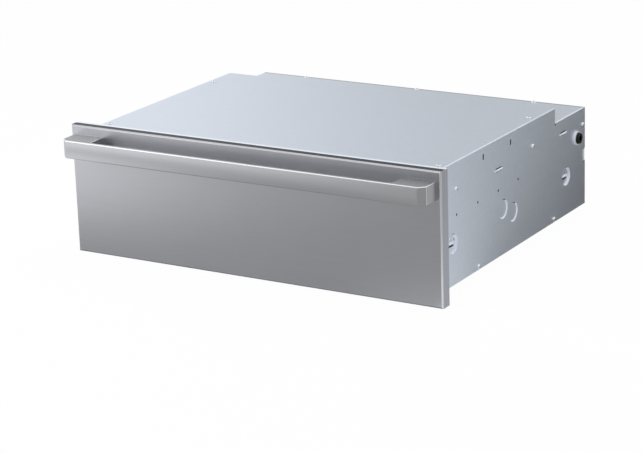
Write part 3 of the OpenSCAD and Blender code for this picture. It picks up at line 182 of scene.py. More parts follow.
# Lines, spacing and fibres are gaps in mm, along X, Y and Z where there are three. The real ones are about
# 0.1 mm, too fine to show, so they are drawn as coarse as they need to be
finishes = {
    # Brushed along the width: fine streaks, and reflections smeared up and down
    "stainless_brushed": rolledMetal("stainless steel, brushed lengthways", {
        "lines": (125, 1.1111, 0.9091), "cloud": 160 * mm, "cloudShare": 0.35, "dark": "#c0c1c6",
        "light": "#d0d1d6", "rough": (0.28, 0.34), "bump": 0.03, "depth": 0.03 * mm,
        "across": (0, 0, 1), "stretch": 0.6}),
    # Ground to a satin: soft, even reflections with hardly a streak
    "handle": rolledMetal("stainless steel, satin handle", {
        "lines": (125, 1, 0.8333), "cloud": 200 * mm, "cloudShare": 0.3, "dark": "#cdced2",
        "light": "#d4d5d9", "rough": (0.27, 0.3), "bump": 0.004, "depth": 0.03 * mm}),
    # Polished, with a painted highlight: a near-white colour draws a bright line along each edge of panel and
    # handle
    "bevel": rolledMetal("stainless steel, polished bevel, painted highlight", {
        "lines": (125, 1.1111, 1.1111), "cloud": 200 * mm, "dark": "#f2f3f6", "light": "#f9fafc",
        "rough": (0.14, 0.2), "bump": 0.03, "depth": 0.02 * mm}),
    # Folded return in painted shade: a dark colour draws a dark line on top of the panel
    "fold": rolledMetal("stainless steel, folded return, painted shade", {
        "lines": (125, 1.1111, 1.1111), "cloud": 200 * mm, "dark": "#33363a", "light": "#404448",
        "rough": (0.4, 0.5), "bump": 0.05, "depth": 0.03 * mm}),
    # Folded along the grain, in painted shade: the ends, and the lid's rear strip, are painted a mid grey,
    # darker than the panel's front and paler than the top
    "end return": rolledMetal("stainless steel, folded return at the ends, painted shade", {
        "lines": (1.1111, 1.1111, 125), "cloud": 200 * mm, "dark": "#a7abb2", "light": "#b3b7be",
        "rough": (0.3, 0.4), "bump": 0.05, "depth": 0.03 * mm}),
    # Ground across the bar, with painted shade: darker than its front, on its top and lower edges
    "handle top": rolledMetal("stainless steel, satin, ground across", {
        "lines": (125, 1, 1), "cloud": 200 * mm, "dark": "#a4a5a8", "light": "#aeafb2",
        "rough": (0.42, 0.5), "bump": 0.04, "depth": 0.03 * mm, "metallic": 0.9}),
    # Ground after cutting, with painted shade: the ends are painted a shade darker than the bar's front
    "handle end": rolledMetal("stainless steel, satin, painted shade on the ends", {
        "lines": (1.1111, 1.1111, 125), "cloud": 200 * mm, "dark": "#acadb0", "light": "#b8b9bc",
        "rough": (0.3, 0.4), "bump": 0.03, "depth": 0.03 * mm}),
    # Pale and matt, with no clear reflection: a painted highlight on the handle's back, which the panel
    # reflects, and on the rear panel's flange in the notches
    "blasted steel": rolledMetal("steel, pale and matt, painted highlight", {
        "lines": (125, 1, 1), "cloud": 200 * mm, "dark": "#dadbde", "light": "#e2e3e6",
        "rough": (0.5, 0.6), "bump": 0.04, "depth": 0.03 * mm, "metallic": 0.3}),
    # The walls drawn over a die, in painted shade: darker than the sheet round it, under the recesses' upper
    # rims and on the panel's bend at the foot
    "pressed wall": rolledMetal("steel, pressed wall, painted shade", {
        "spacing": 3.3333, "cloud": 100 * mm, "dark": "#6d737b", "light": "#7b8189",
        "rough": (0.45, 0.55), "bump": 0.05, "depth": 0.02 * mm}),
    # Torn by the punch and bare of zinc, with painted shade: a nearly black rim to each hole and to the open
    # flanks of the lanced bridges, for the shade within them
    "punched edge": rolledMetal("steel, punched edge, uncoated, painted shade", {
        "spacing": 3.3333, "cloud": 20 * mm, "dark": "#232426", "light": "#323336",
        "rough": (0.5, 0.6), "bump": 0.05, "depth": 0.02 * mm}),
    # Painted highlight: an almost white line along each rounded fold and edge strip, and on the recess walls
    # that look forwards
    "burnished edge": rolledMetal("steel, burnished edge", {
        "spacing": 3.3333, "cloud": 100 * mm, "dark": "#e6eefb", "light": "#f0f5fe",
        "rough": (0.4, 0.5), "bump": 0.03, "depth": 0.02 * mm, "metallic": 0.25}),
    # Punched into the head, in painted shade: a dark cross
    "screw recess": rolledMetal("steel, punched recess, painted shade", {
        "spacing": 2, "cloud": 10 * mm, "dark": "#2c2d2f", "light": "#3a3b3e",
        "rough": (0.5, 0.6), "bump": 0.05, "depth": 0.02 * mm}),
    # Turned and nickel plated: a pale ring with a soft gloss, made near white by a painted highlight
    "plated ring": rolledMetal("steel, turned and nickel plated, painted highlight", {
        "spacing": 3.3333, "cloud": 30 * mm, "dark": "#f2f4f8", "light": "#f8fafc",
        "rough": (0.3, 0.4), "bump": 0.03, "depth": 0.02 * mm, "metallic": 0.3}),
    # Dipped in zinc and rolled: faint crystals and a cool satin sheen
    "galvanised_sheet": galvanisedMetal("galvanised steel, rolled sheet", {
        "crystal": 5 * mm, "crystalShare": 0.4, "lines": (1.6667, 83.333, 1.6667), "dark": "#d6dfea",
        "light": "#e0e7f1", "rough": (0.34, 0.42), "bump": 0.06, "depth": 0.04 * mm}),
    # Straight from the mill: even grey, a little cloudy
    "stainless_sheet": rolledMetal("stainless steel, mill finish", {
        "lines": (3.3333, 100, 3.3333), "cloud": 100 * mm, "dark": "#b0b0b1", "light": "#c0c0c1",
        "rough": (0.3, 0.38), "bump": 0.06, "depth": 0.04 * mm}),
    # Annealed in gas: smoother and brighter than the mill finish
    "bright_steel": rolledMetal("stainless steel, bright annealed", {
        "lines": (3.3333, 100, 3.3333), "cloud": 120 * mm, "dark": "#c2c2c3", "light": "#cececf",
        "rough": (0.2, 0.28), "bump": 0.05, "depth": 0.03 * mm}),
    # Roll formed and then plated: drawn lines along the slide, faintly blue
    "zinc_plated_steel": rolledMetal("steel, roll formed and zinc plated", {
        "lines": (2.5, 100, 2.5), "cloud": 50 * mm, "dark": "#b3b6b9", "light": "#c5c8cb",
        "rough": (0.26, 0.36), "bump": 0.05, "depth": 0.03 * mm}),
    # Ground and lapped: mirror bright
    "ball_steel": rolledMetal("steel, ground and polished", {
        "spacing": 3.3333, "cloud": 20 * mm, "dark": "#c8c8ca", "light": "#d2d2d4",
        "rough": (0.06, 0.1), "bump": 0.02, "depth": 0.01 * mm}),
    # Headed cold and plated: bright with a fine grain
    "screw_steel": rolledMetal("steel, cold headed and bright plated", {
        "spacing": 2, "cloud": 10 * mm, "dark": "#e0e5eb", "light": "#f0f4f9",
        "rough": (0.2, 0.3), "bump": 0.05, "depth": 0.02 * mm}),
    # Drawn wire under chrome: sharp highlights along each wire
    "chromed_wire": rolledMetal("steel wire, welded and chromed", {
        "spacing": 5, "cloud": 30 * mm, "dark": "#c6c6c9", "light": "#d0d0d3",
        "rough": (0.08, 0.16), "bump": 0.03, "depth": 0.02 * mm}),
    # Oxidised by its own heat: brown grey and matt
    "element_sheath": rolledMetal("nickel alloy tube, drawn and oxidised", {
        "spacing": 3.3333, "cloud": 30 * mm, "cloudShare": 0.6, "dark": "#4a4846", "light": "#6b6763",
        "rough": (0.4, 0.55), "bump": 0.1, "depth": 0.03 * mm}),
    # Pressed from loose fibre: matt, olive brown and uneven
    "mineral_wool": woolBoard("mineral wool, pressed board", {
        "tuft": 14 * mm, "fibres": (8.3333, 2, 2), "dark": "#5f5a49", "light": "#8d866f",
        "bump": 0.6, "depth": 0.8 * mm}),
    # Mineral wool in painted shade: nearly black, so that the holes in the sheets before it look dark, with a
    # flatter weave of fibres
    "faced wool": woolBoard("mineral wool, painted shade", {
        "tuft": 14 * mm, "fibres": (8.3333, 2, 2), "dark": "#0f0f10", "light": "#1c1c1e",
        "bump": 0.6, "depth": 0.4 * mm}),
    # Moulded in a grained tool: black and half matt
    "black_plastic": moulded("polyamide, moulded", {
        "grain": 0.6 * mm, "cloud": 20 * mm, "dark": "#18181a", "light": "#222224", "rough": (0.42, 0.55),
        "bump": 0.12, "depth": 0.05 * mm}),
    # Moulded in a smoother tool: deep black with a satin highlight
    "black_nylon": moulded("nylon, moulded satin", {
        "grain": 0.5 * mm, "cloud": 10 * mm, "dark": "#060607", "light": "#0b0b0c", "rough": (0.3, 0.42),
        "bump": 0.08, "depth": 0.04 * mm, "sheen": 0.35}),
    # Lacquered laminate: green with a slight gloss
    "circuit_board": moulded("glass laminate, solder mask", {
        "grain": 1.5 * mm, "cloud": 12 * mm, "dark": "#1d5a35", "light": "#246b40", "rough": (0.3, 0.4),
        "bump": 0.08, "depth": 0.04 * mm}),
    # Moulded and filled: warm white, half matt
    "white_plastic": moulded("polyester, moulded white", {
        "grain": 0.6 * mm, "cloud": 20 * mm, "dark": "#dcd9d2", "light": "#e8e6e0", "rough": (0.4, 0.5),
        "bump": 0.08, "depth": 0.04 * mm}),
    # Extruded rubber: dark grey and matt
    "silicone": moulded("silicone, extruded", {
        "grain": 0.8 * mm, "cloud": 30 * mm, "dark": "#3a3a3c", "light": "#48484a", "rough": (0.55, 0.7),
        "bump": 0.1, "depth": 0.05 * mm, "ior": 1.41}),
    # Moulded in a spark eroded tool: a fine even grain that breaks up reflections
    "dark_fascia": moulded("polycarbonate, spark eroded grain", {
        "grain": 0.5 * mm, "cloud": 40 * mm, "dark": "#29292b", "light": "#323234", "rough": (0.4, 0.52),
        "bump": 0.2, "depth": 0.05 * mm, "ior": 1.58}),
    # Moulded in a polished tool: a warm, glossy lens
    "amber_lens": moulded("acrylic, clear amber", {
        "grain": 1.0 * mm, "cloud": 4 * mm, "dark": "#c8641c", "light": "#e08a34", "rough": (0.08, 0.14),
        "bump": 0.02, "depth": 0.02 * mm, "ior": 1.49}),
    # Moulded and metallised: light grey with a satin highlight
    "button_plastic": moulded("ABS, moulded and metallised", {
        "grain": 0.5 * mm, "cloud": 10 * mm, "dark": "#b9babd", "light": "#c6c7ca", "rough": (0.25, 0.35),
        "bump": 0.05, "depth": 0.03 * mm, "ior": 1.53}),
}
slotOf = {row["node"]: row["material_slot"] for row in frame["record"]["subparts"]}
# The gland's ring takes a finish with a painted highlight, the insulation batts a nearly black painted shade
ownFinish = {"handle": "handle", "gland_ring": "plated ring", "insulation_batts": "faced wool"}


def finishOf(nodeName):
    return ownFinish.get(nodeName, slotOf[nodeName])


def dress(piece, finish):
    piece.data.materials.clear()
    piece.data.materials.append(finish)


for name, piece in nodes.items():
    dress(piece, finishes[finishOf(name)])
print("finishes:", len(finishes))


def onlySelect(piece):
    bpy.ops.object.select_all(action="DESELECT")
    piece.select_set(True)
    bpy.context.view_layer.objects.active = piece


def standIn(piece, nodeName):
    # The piece moves with its node's body and takes its place
    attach(piece, nodes[nodeName]["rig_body"])
    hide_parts(nodeName)


def extent(piece):
    # Lowest and highest corner
    corners = [v.co for v in piece.data.vertices]
    return [Vector([pick(c[i] for c in corners) for i in range(3)]) for pick in (min, max)]


mergeGap = 0.001 * mm    # points nearer to each other than this are one
planeGap = 0.02 * mm     # a point this near a plane lies in it
flatAngle = 0.4          # degrees: faces that meet flatter than this are one
curveAngle = 20          # degrees: faces that meet flatter than this shade as one curve


def liesIn(edge, planes):
    # Whether both ends lie in all the planes, on either side of the middle
    ends = [v.co for v in edge.verts]
    return all(abs(abs(getattr(end, axis)) - at) < planeGap for axis, at in planes.items() for end in ends)


def softEdges(nodeName, look):
    # A copy of the CAD piece with its sharp edges rounded, in place of the node
    piece = bpy.data.objects.new(nodeName + ".bent", nodes[nodeName].data.copy())
    scene.collection.objects.link(piece)
    for finish in look["finishes"]:
        piece.data.materials.append(finishes[finish])
    onlySelect(piece)
    bpy.ops.mesh.customdata_custom_splitnormals_clear()
    bpy.ops.object.mode_set(mode="EDIT")
    bpy.ops.mesh.select_all(action="SELECT")
    bpy.ops.mesh.remove_doubles(threshold=mergeGap)
    bpy.ops.mesh.dissolve_limited(angle_limit=math.radians(flatAngle))
    bpy.ops.object.mode_set(mode="OBJECT")
    bpy.ops.object.shade_smooth_by_angle(angle=math.radians(curveAngle))
    bm = bmesh.new()
    bm.from_mesh(piece.data)
    weights = bm.edges.layers.float.new("bevel_weight_edge")
    for edge in bm.edges:
        if edge.calc_face_angle(0) < math.radians(look["sharper"]):
            continue
        shares = [share for share, planes in look["rounded"] if liesIn(edge, planes)]
        if shares:
            edge[weights] = shares[0]
    bm.to_mesh(piece.data)
    bm.free()
    bevel = piece.modifiers.new("edge", "BEVEL")
    bevel.width = look["width"]
    bevel.segments = look["segments"]
    bevel.limit_method = "WEIGHT"
    bevel.use_clamp_overlap = True
    bevel.harden_normals = True
    bevel.material = 1
    bpy.ops.object.modifier_apply(modifier=bevel.name)
    standIn(piece, nodeName)
    return piece


# Where the sheets end: x to the sides, y to the back, z up
coverHigh = extent(nodes["top_cover"])[1]
sideHigh = extent(nodes["side_panel_right"])[1]
halfWidth, tallDepth, coverTop = coverHigh
lowTop = extent(nodes["rear_lid"])[1].z
back = sideHigh.y
sheet = coverTop - sideHigh.z
panelLow, panelHigh = extent(nodes["front_skin"])
handleTop = extent(nodes["handle"])[1].z
sideLook = {"width": 1.5 * mm, "segments": 4, "sharper": 35,
            "finishes": ["burnished edge", "punched edge", "pressed wall"],
            "rounded": [(1, {"x": halfWidth, "z": coverTop - sheet}),
                        (1, {"x": halfWidth, "z": lowTop - sheet}), (0.6, {"x": halfWidth, "y": tallDepth})]}
# Edges sharper than so many degrees are rounded by a share of the width where they lie in the planes named.
# The rounding takes the first of the extra finishes, a painted highlight on every piece here
edgeLook = {
    "front_skin": {"width": 0.7 * mm, "segments": 3, "sharper": 30,
                   "finishes": ["bevel", "fold", "end return", "burnished edge", "pressed wall"],
                   "rounded": [(1, {"x": panelHigh.x}), (1, {"y": -panelLow.y}), (1, {"z": panelHigh.z}),
                               (1, {"z": -panelLow.z})]},
    "handle": {"width": 2.4 * mm, "segments": 3, "sharper": 30,
               "finishes": ["bevel", "handle top", "handle end", "blasted steel"],
               "rounded": [(1, {"z": handleTop}), (0.4, {})]},
    "top_cover": {"width": 0.9 * mm, "segments": 3, "sharper": 40, "finishes": ["burnished edge"],
                  "rounded": [(1, {"x": halfWidth, "z": coverTop}), (1, {"y": tallDepth, "z": coverTop}),
                              (0.3, {"x": halfWidth - sheet, "y": tallDepth})]},
    "rear_lid": {"width": 0.9 * mm, "segments": 3, "sharper": 40,
                 "finishes": ["burnished edge", "end return"],
                 "rounded": [(1, {"x": halfWidth, "z": lowTop}), (1, {"y": back, "z": lowTop})]},
    "side_panel_left": sideLook,
    "side_panel_right": sideLook,
    "rear_panel": {"width": 0.5 * mm, "segments": 2, "sharper": 60,
                   "finishes": ["burnished edge", "blasted steel"],
                   "rounded": [(1, {"y": back, "z": lowTop - sheet})]},
}
bent = {name: softEdges(name, look) for name, look in edgeLook.items()}
print("rounded edges:", len(bent))


def cutAcross(piece, places, normal):
    # New edges where planes cross the piece, so that a strip can have its own finish
    onlySelect(piece)
    bpy.ops.object.mode_set(mode="EDIT")
    bpy.ops.mesh.select_mode(type="FACE")
    for place in places:
        bpy.ops.mesh.select_all(action="SELECT")
        bpy.ops.mesh.bisect(plane_co=place, plane_no=normal)
    bpy.ops.object.mode_set(mode="OBJECT")


# Strips with a finish of their own: a painted highlight along the rear of the skin's top return and along the
# sides of cover and lid, painted shade along the lid's rear
stripLook = {"skin rear": 8 * mm, "cover sides": 3 * mm, "lid sides": 3 * mm, "lid rear": 6 * mm}
skinStrip = extent(bent["front_skin"])[1].y - stripLook["skin rear"]
coverStrip, lidStrip = halfWidth - stripLook["cover sides"], halfWidth - stripLook["lid sides"]
lidRear = back - stripLook["lid rear"]
cutAcross(bent["front_skin"], [(0, skinStrip, 0)], (0, 1, 0))
cutAcross(bent["top_cover"], [(-coverStrip, 0, 0), (coverStrip, 0, 0)], (1, 0, 0))
cutAcross(bent["rear_lid"], [(-lidStrip, 0, 0), (lidStrip, 0, 0)], (1, 0, 0))
cutAcross(bent["rear_lid"], [(0, lidRear, 0)], (0, 1, 0))

# The notch in each side panel's rear edge is cut deeper, and shows the rear panel's flange, which has a pale
# painted highlight
notchLook = {"z": 97 * mm, "reach": 14.5 * mm, "start": 3.9 * mm, "end": 8.2 * mm, "deeper": 4 * mm}
for name in ("side_panel_left", "side_panel_right"):
    for corner in bent[name].data.vertices:
        inNotch = notchLook["start"] < back - corner.co.y < notchLook["end"]
        if inNotch and abs(corner.co.z - notchLook["z"]) < notchLook["reach"]:
            corner.co.y -= notchLook["deeper"]

square = 0.9  # a normal's share along an axis, above which the face looks along it
# Pressed walls: how far they slant outwards, and when they look down, aside and forwards
pressLook = {"slant": (0.15, 0.97), "in": 0.05 * mm, "down": 0.55, "aside": 0.35, "forwards": 0.15}
# Punched walls keep this far from the sheet's outline
holeLook = {"square": 0.1, "front": 0.5 * mm, "back": 0.2 * mm, "bottom": 0.5 * mm, "top": 3 * mm}
bridgeOut = 0.1 * mm  # the lanced bridges stand out of the sheet by more than this


def isPressed(n, at):
    # The slanting wall of a pressed recess or ring
    low, high = pressLook["slant"]
    return low < n.x * math.copysign(1, at.x) < high and abs(at.x) < halfWidth - pressLook["in"]


def isPunched(n, at):
    # The wall of a punched hole, which lies within the sheet and away from its outline
    within = halfWidth - sheet < abs(at.x) < halfWidth and abs(n.x) < holeLook["square"]
    inDepth = holeLook["front"] < at.y < back - holeLook["back"]
    return within and inDepth and holeLook["bottom"] < at.z < lowTop - holeLook["top"]


# A face takes the finish of the first rule that holds for its normal n, its middle and the finish it has
sideRules = [
    # Open flanks of the lanced bridges, in painted shade
    ("punched edge", lambda n, at, has: abs(at.x) > halfWidth + bridgeOut and abs(n.z) > square),
    # Painted shade under a recess's upper rim, a painted highlight on the walls that look forwards
    ("pressed wall", lambda n, at, has:
        isPressed(n, at) and n.z < -pressLook["down"] and n.y > -pressLook["aside"]),
    ("burnished edge", lambda n, at, has: isPressed(n, at) and n.y < -pressLook["forwards"]),
    # The walls of punched holes, in painted shade
    ("punched edge", lambda n, at, has: has == "galvanised_sheet" and isPunched(n, at)),
]
faceRules = {
    "front_skin": [
        # The bend at the foot, the top return and the ends take painted shade; the slants at the ends and the
        # rear strip of the top return take a painted highlight
        ("pressed wall", lambda n, at, has: n.z < -0.02),  # the bend at the foot
        ("bevel", lambda n, at, has: -0.95 < n.y < -0.4 and abs(n.x) > 0.3),  # the slant at each end
        ("burnished edge", lambda n, at, has: n.z > square and at.y > skinStrip),  # rear of the top return
        ("fold", lambda n, at, has: n.z > square),  # the rest of the top return
        ("end return", lambda n, at, has: abs(n.x) > square)],  # the ends
    "handle": [
        # The handle's top, lower edges and ends are in painted shade, its back and its upper front edge have
        # a painted highlight
        ("handle top", lambda n, at, has: has == "bevel" and n.z < -0.25 and n.y < 0.5),  # lower edges
        ("handle", lambda n, at, has: has == "bevel" and abs(n.z) < 0.3 and n.y < -0.75),  # upright edges
        ("handle top", lambda n, at, has: has == "handle" and n.z > square),  # the top
        ("blasted steel", lambda n, at, has: has == "handle" and n.y > square),  # the back
        ("handle end", lambda n, at, has: has == "handle" and abs(n.x) > 0.6 and n.y < 0.1),  # the ends
        ("bevel", lambda n, at, has: -0.9 < n.y < -0.5 and n.z > 0.5)],  # the upper front edge
    # The side strips of cover and lid take a painted highlight, the lid's rear strip painted shade
    "top_cover": [("burnished edge", lambda n, at, has: n.z > square and abs(at.x) > coverStrip)],
    "rear_lid": [
        ("end return", lambda n, at, has: n.z > square and at.y > lidRear),
        ("burnished edge", lambda n, at, has: n.z > square and abs(at.x) > lidStrip)],
    "side_panel_left": sideRules,
    "side_panel_right": sideRules,
    # The flange that shows in the side panels' notches takes a pale painted highlight
    "rear_panel": [
        ("blasted steel", lambda n, at, has: abs(n.x) > square and abs(at.x) > halfWidth - 1.5 * sheet)],
}
for name, rules in faceRules.items():
    slots = [finishOf(name)] + edgeLook[name]["finishes"]
    for face in bent[name].data.polygons:
        has = slots[face.material_index]
        fitting = [finish for finish, holds in rules if holds(face.normal, face.center, has)]
        if fitting:
            face.material_index = slots.index(fitting[0])
print("faces with finishes of their own:", len(faceRules), "pieces")

# A pan head screw. Head: half outline in shares of the head's radius and height. Thread and point: in shares
# of the shank's radius. Taper: how far the recess narrows downwards along and across an arm
screwShape = {"head": [(0, 1), (0.45, 0.97), (0.72, 0.86), (0.9, 0.64), (0.98, 0.36), (1, 0.1), (0.97, 0)],
              "plain": 2.4, "root": 0.8, "point": 0.6, "steps": 32, "mergeGap": 0.002 * mm, "curveAngle": 35,
              "taper": (0.35, 0.6)}


def panHead(look, length):
    # One screw along Z, its head above the sheet's face, modelled by turning a half outline
    h, shank, pitch = look["headH"], look["shankR"], look["pitch"]
    outline = [(x * look["headR"], z * h) for x, z in screwShape["head"]] + [(shank, 0)]
    for i in range(int((length - screwShape["plain"] * shank) / pitch)):
        z = -(i + 0.5) * pitch
        outline += [(screwShape["root"] * shank, z), (shank, z - 0.5 * pitch)]
    outline += [(screwShape["point"] * shank, -length + shank), (0, -length)]
    mesh = bpy.data.meshes.new("screw")
    mesh.from_pydata([(x, 0, z) for x, z in outline], [(i, i + 1) for i in range(len(outline) - 1)], [])
    screw = bpy.data.objects.new("screw", mesh)
    scene.collection.objects.link(screw)
    onlySelect(screw)
    bpy.ops.object.mode_set(mode="EDIT")
    bpy.ops.mesh.select_all(action="SELECT")
    bpy.ops.mesh.spin(steps=screwShape["steps"], angle=2 * math.pi, center=(0, 0, 0), axis=(0, 0, 1),
                      use_auto_merge=True)
    bpy.ops.mesh.select_all(action="SELECT")
    bpy.ops.mesh.remove_doubles(threshold=screwShape["mergeGap"])
    bpy.ops.mesh.normals_make_consistent(inside=False)
    bpy.ops.object.mode_set(mode="OBJECT")
    bpy.ops.object.shade_smooth_by_angle(angle=math.radians(screwShape["curveAngle"]))
    # The cross recess: a tapered bar, doubled by a quarter turn; its cut faces take a dark painted shade
    armLength, armWidth, depth = look["cross"]
    bpy.ops.object.select_all(action="DESELECT")
    bpy.ops.mesh.primitive_cube_add(size=1.0, location=(0, 0, 0))
    cutter = bpy.context.object
    stretch = Matrix.Diagonal((armLength, armWidth, 2 * depth, 1))
    cutter.data.transform(Matrix.Translation((0, 0, h)) @ stretch)
    for corner in cutter.data.vertices:
        if corner.co.z < h:
            corner.co.x *= screwShape["taper"][0]
            corner.co.y *= screwShape["taper"][1]
    onlySelect(cutter)
    bpy.ops.object.mode_set(mode="EDIT")
    bpy.ops.mesh.select_all(action="SELECT")
    bpy.ops.mesh.duplicate()
    bpy.ops.transform.rotate(value=math.pi / 2, orient_axis="Z", center_override=(0, 0, h))
    bpy.ops.object.mode_set(mode="OBJECT")
    dress(screw, finishes["screw_steel"])
    dress(cutter, finishes["screw recess"])
    cut = screw.modifiers.new("recess", "BOOLEAN")
    cut.object = cutter
    cut.operation = "DIFFERENCE"
    cut.use_self = True
    cut.material_mode = "TRANSFER"
    onlySelect(screw)
    bpy.ops.object.modifier_apply(modifier=cut.name)
    bpy.data.objects.remove(cutter)
    return screw


def looseParts(mesh):
    # Lowest and highest corner of each separate fastener in one node
    owner = list(range(len(mesh.vertices)))

    def root(i):
        while owner[i] != i:
            owner[i] = owner[owner[i]]
            i = owner[i]
        return i

    seen = {}
    for v in mesh.vertices:
        key = tuple(round(c, 6) for c in v.co)
        owner[root(v.index)] = root(seen.setdefault(key, v.index))
    for edge in mesh.edges:
        owner[root(edge.vertices[0])] = root(edge.vertices[1])
    groups = {}
    for v in mesh.vertices:
        groups.setdefault(root(v.index), []).append(v.co)
    return [[[pick(c[i] for c in part) for i in range(3)] for pick in (min, max)] for part in groups.values()]


# Head radius and height, shank radius, length and thread pitch, the recess's arm length, arm width and
# depth, and the turn from each screw to the next. Slide screws run along X and are as long as in the CAD
screwLook = {
    "case_screws": {"headR": 4.5 * mm, "headH": 2.6 * mm, "shankR": 1.9 * mm, "length": 8 * mm,
                    "pitch": 1.0 * mm, "cross": (4.8 * mm, 1.0 * mm, 1.5 * mm), "turn": 0.6},
    "slide_screws": {"headR": 3.6 * mm, "headH": 1.6 * mm, "shankR": 2.4 * mm, "length": None,
                     "pitch": 0.8 * mm, "cross": (3.6 * mm, 0.9 * mm, 0.9 * mm), "turn": 0.9},
}
for nodeName, look in screwLook.items():
    parts = looseParts(nodes[nodeName].data)
    if look["length"]:
        length = look["length"]
        axisOf = [max(range(3), key=lambda i: high[i] - low[i]) for low, high in parts]
    else:
        low, high = parts[0]
        length = high[0] - low[0] - look["headH"]
        axisOf = [0] * len(parts)
    model = panHead(look, length)
    whole = bmesh.new()
    for i, ((low, high), axis) in enumerate(zip(parts, axisOf)):
        side = 1 if axis == 2 or low[0] > 0 else -1
        centre = [(low[k] + high[k]) / 2 for k in range(3)]
        centre[axis] = (high[axis] if side > 0 else low[axis]) - side * look["headH"]
        outward = Vector([side if k == axis else 0 for k in range(3)])
        facing = outward.to_track_quat("Z", "Y").to_matrix().to_4x4()
        one = model.data.copy()
        one.transform(Matrix.Translation(centre) @ facing @ Matrix.Rotation(look["turn"] * (i + 1), 4, "Z"))
        whole.from_mesh(one)
        bpy.data.meshes.remove(one)
    made = bpy.data.meshes.new(nodeName)
    whole.to_mesh(made)
    whole.free()
    made.materials.append(finishes["screw_steel"])
    made.materials.append(finishes["screw recess"])
    piece = bpy.data.objects.new(nodeName + ".new", made)
    scene.collection.objects.link(piece)
    bpy.data.objects.remove(model)
    standIn(piece, nodeName)
    print("screws:", nodeName, len(parts))


def card(name, size, centre, upright=False):
    bpy.ops.object.select_all(action="DESELECT")
    bpy.ops.mesh.primitive_plane_add(size=1.0, location=(0, 0, 0))
    plane = bpy.context.object
    plane.name = name
    turned = Matrix.Rotation(math.radians(90 if upright else 0), 4, "X")
    plane.data.transform(Matrix.Translation(centre) @ turned @ Matrix.Diagonal((*size, 1, 1)))
    return plane


def seenDirectly(tree):
    # 1 for rays from the camera, mirrors and glass, 0 for the rays that carry light to the object
    rays = addNode(tree, "ShaderNodeLightPath").outputs
    seen = rays["Is Camera Ray"]
    for kind in ("Is Glossy Ray", "Is Transmission Ray"):
        seen = addNode(tree, "ShaderNodeMath", {"operation": "ADD", "use_clamp": True}, i0=seen,
                       i1=rays[kind]).outputs[0]
    return seen


# The floor is mostly plain white where it is seen, and the rest of it keeps the object's shadow
floorLook = {"size": (12, 12), "height": cadBounds[0][2] - 0.2 * mm, "colour": "#fbfbfb", "white": 0.96}
floor = card("floor", floorLook["size"], (0, 0, floorLook["height"]))
made, tree, shader = newMaterial("studio floor", Roughness=0.9, Base_Color=hexColour(floorLook["colour"]))
share = addNode(tree, "ShaderNodeMath", {"operation": "MULTIPLY"}, i0=seenDirectly(tree),
                i1=floorLook["white"]).outputs[0]
glow = addNode(tree, "ShaderNodeEmission", Strength=1.0).outputs[0]
mixed = addNode(tree, "ShaderNodeMixShader", i0=share, i1=shader.outputs[0], i2=glow).outputs[0]
tree.links.new(mixed, tree.nodes["Material Output"].inputs["Surface"])
dress(floor, made)


def gradientCard(name, look):
    # A card that only reflections see: metal shows its soft change of tone
    plane = card(name, look["size"], look["centre"], look.get("upright", False))
    plane.visible_camera = plane.visible_diffuse = plane.visible_shadow = False
    made = bpy.data.materials.new(name)
    made.use_nodes = True
    tree = made.node_tree
    tree.nodes.clear()
    place = addNode(tree, "ShaderNodeTexCoord").outputs["Object"]
    total = look["base"]
    for ramp in look["ramps"]:
        curve = {"interpolation_type": ramp.get("curve", "SMOOTHSTEP")}
        part = ramp["amount"]
        for direction, near, far in ramp["along"]:
            reach = addNode(tree, "ShaderNodeVectorMath", {"operation": "DOT_PRODUCT"}, i0=place,
                            i1=direction).outputs["Value"]
            share = addNode(tree, "ShaderNodeMapRange", curve, Value=reach, From_Min=near,
                            From_Max=far).outputs[0]
            part = addNode(tree, "ShaderNodeMath", {"operation": "MULTIPLY"}, i0=part, i1=share).outputs[0]
        total = addNode(tree, "ShaderNodeMath", {"operation": "ADD"}, i0=total, i1=part).outputs[0]
    glow = addNode(tree, "ShaderNodeEmission", Color=(1, 1, 1, 1), Strength=total).outputs[0]
    addNode(tree, "ShaderNodeOutputMaterial", Surface=glow)
    dress(plane, made)


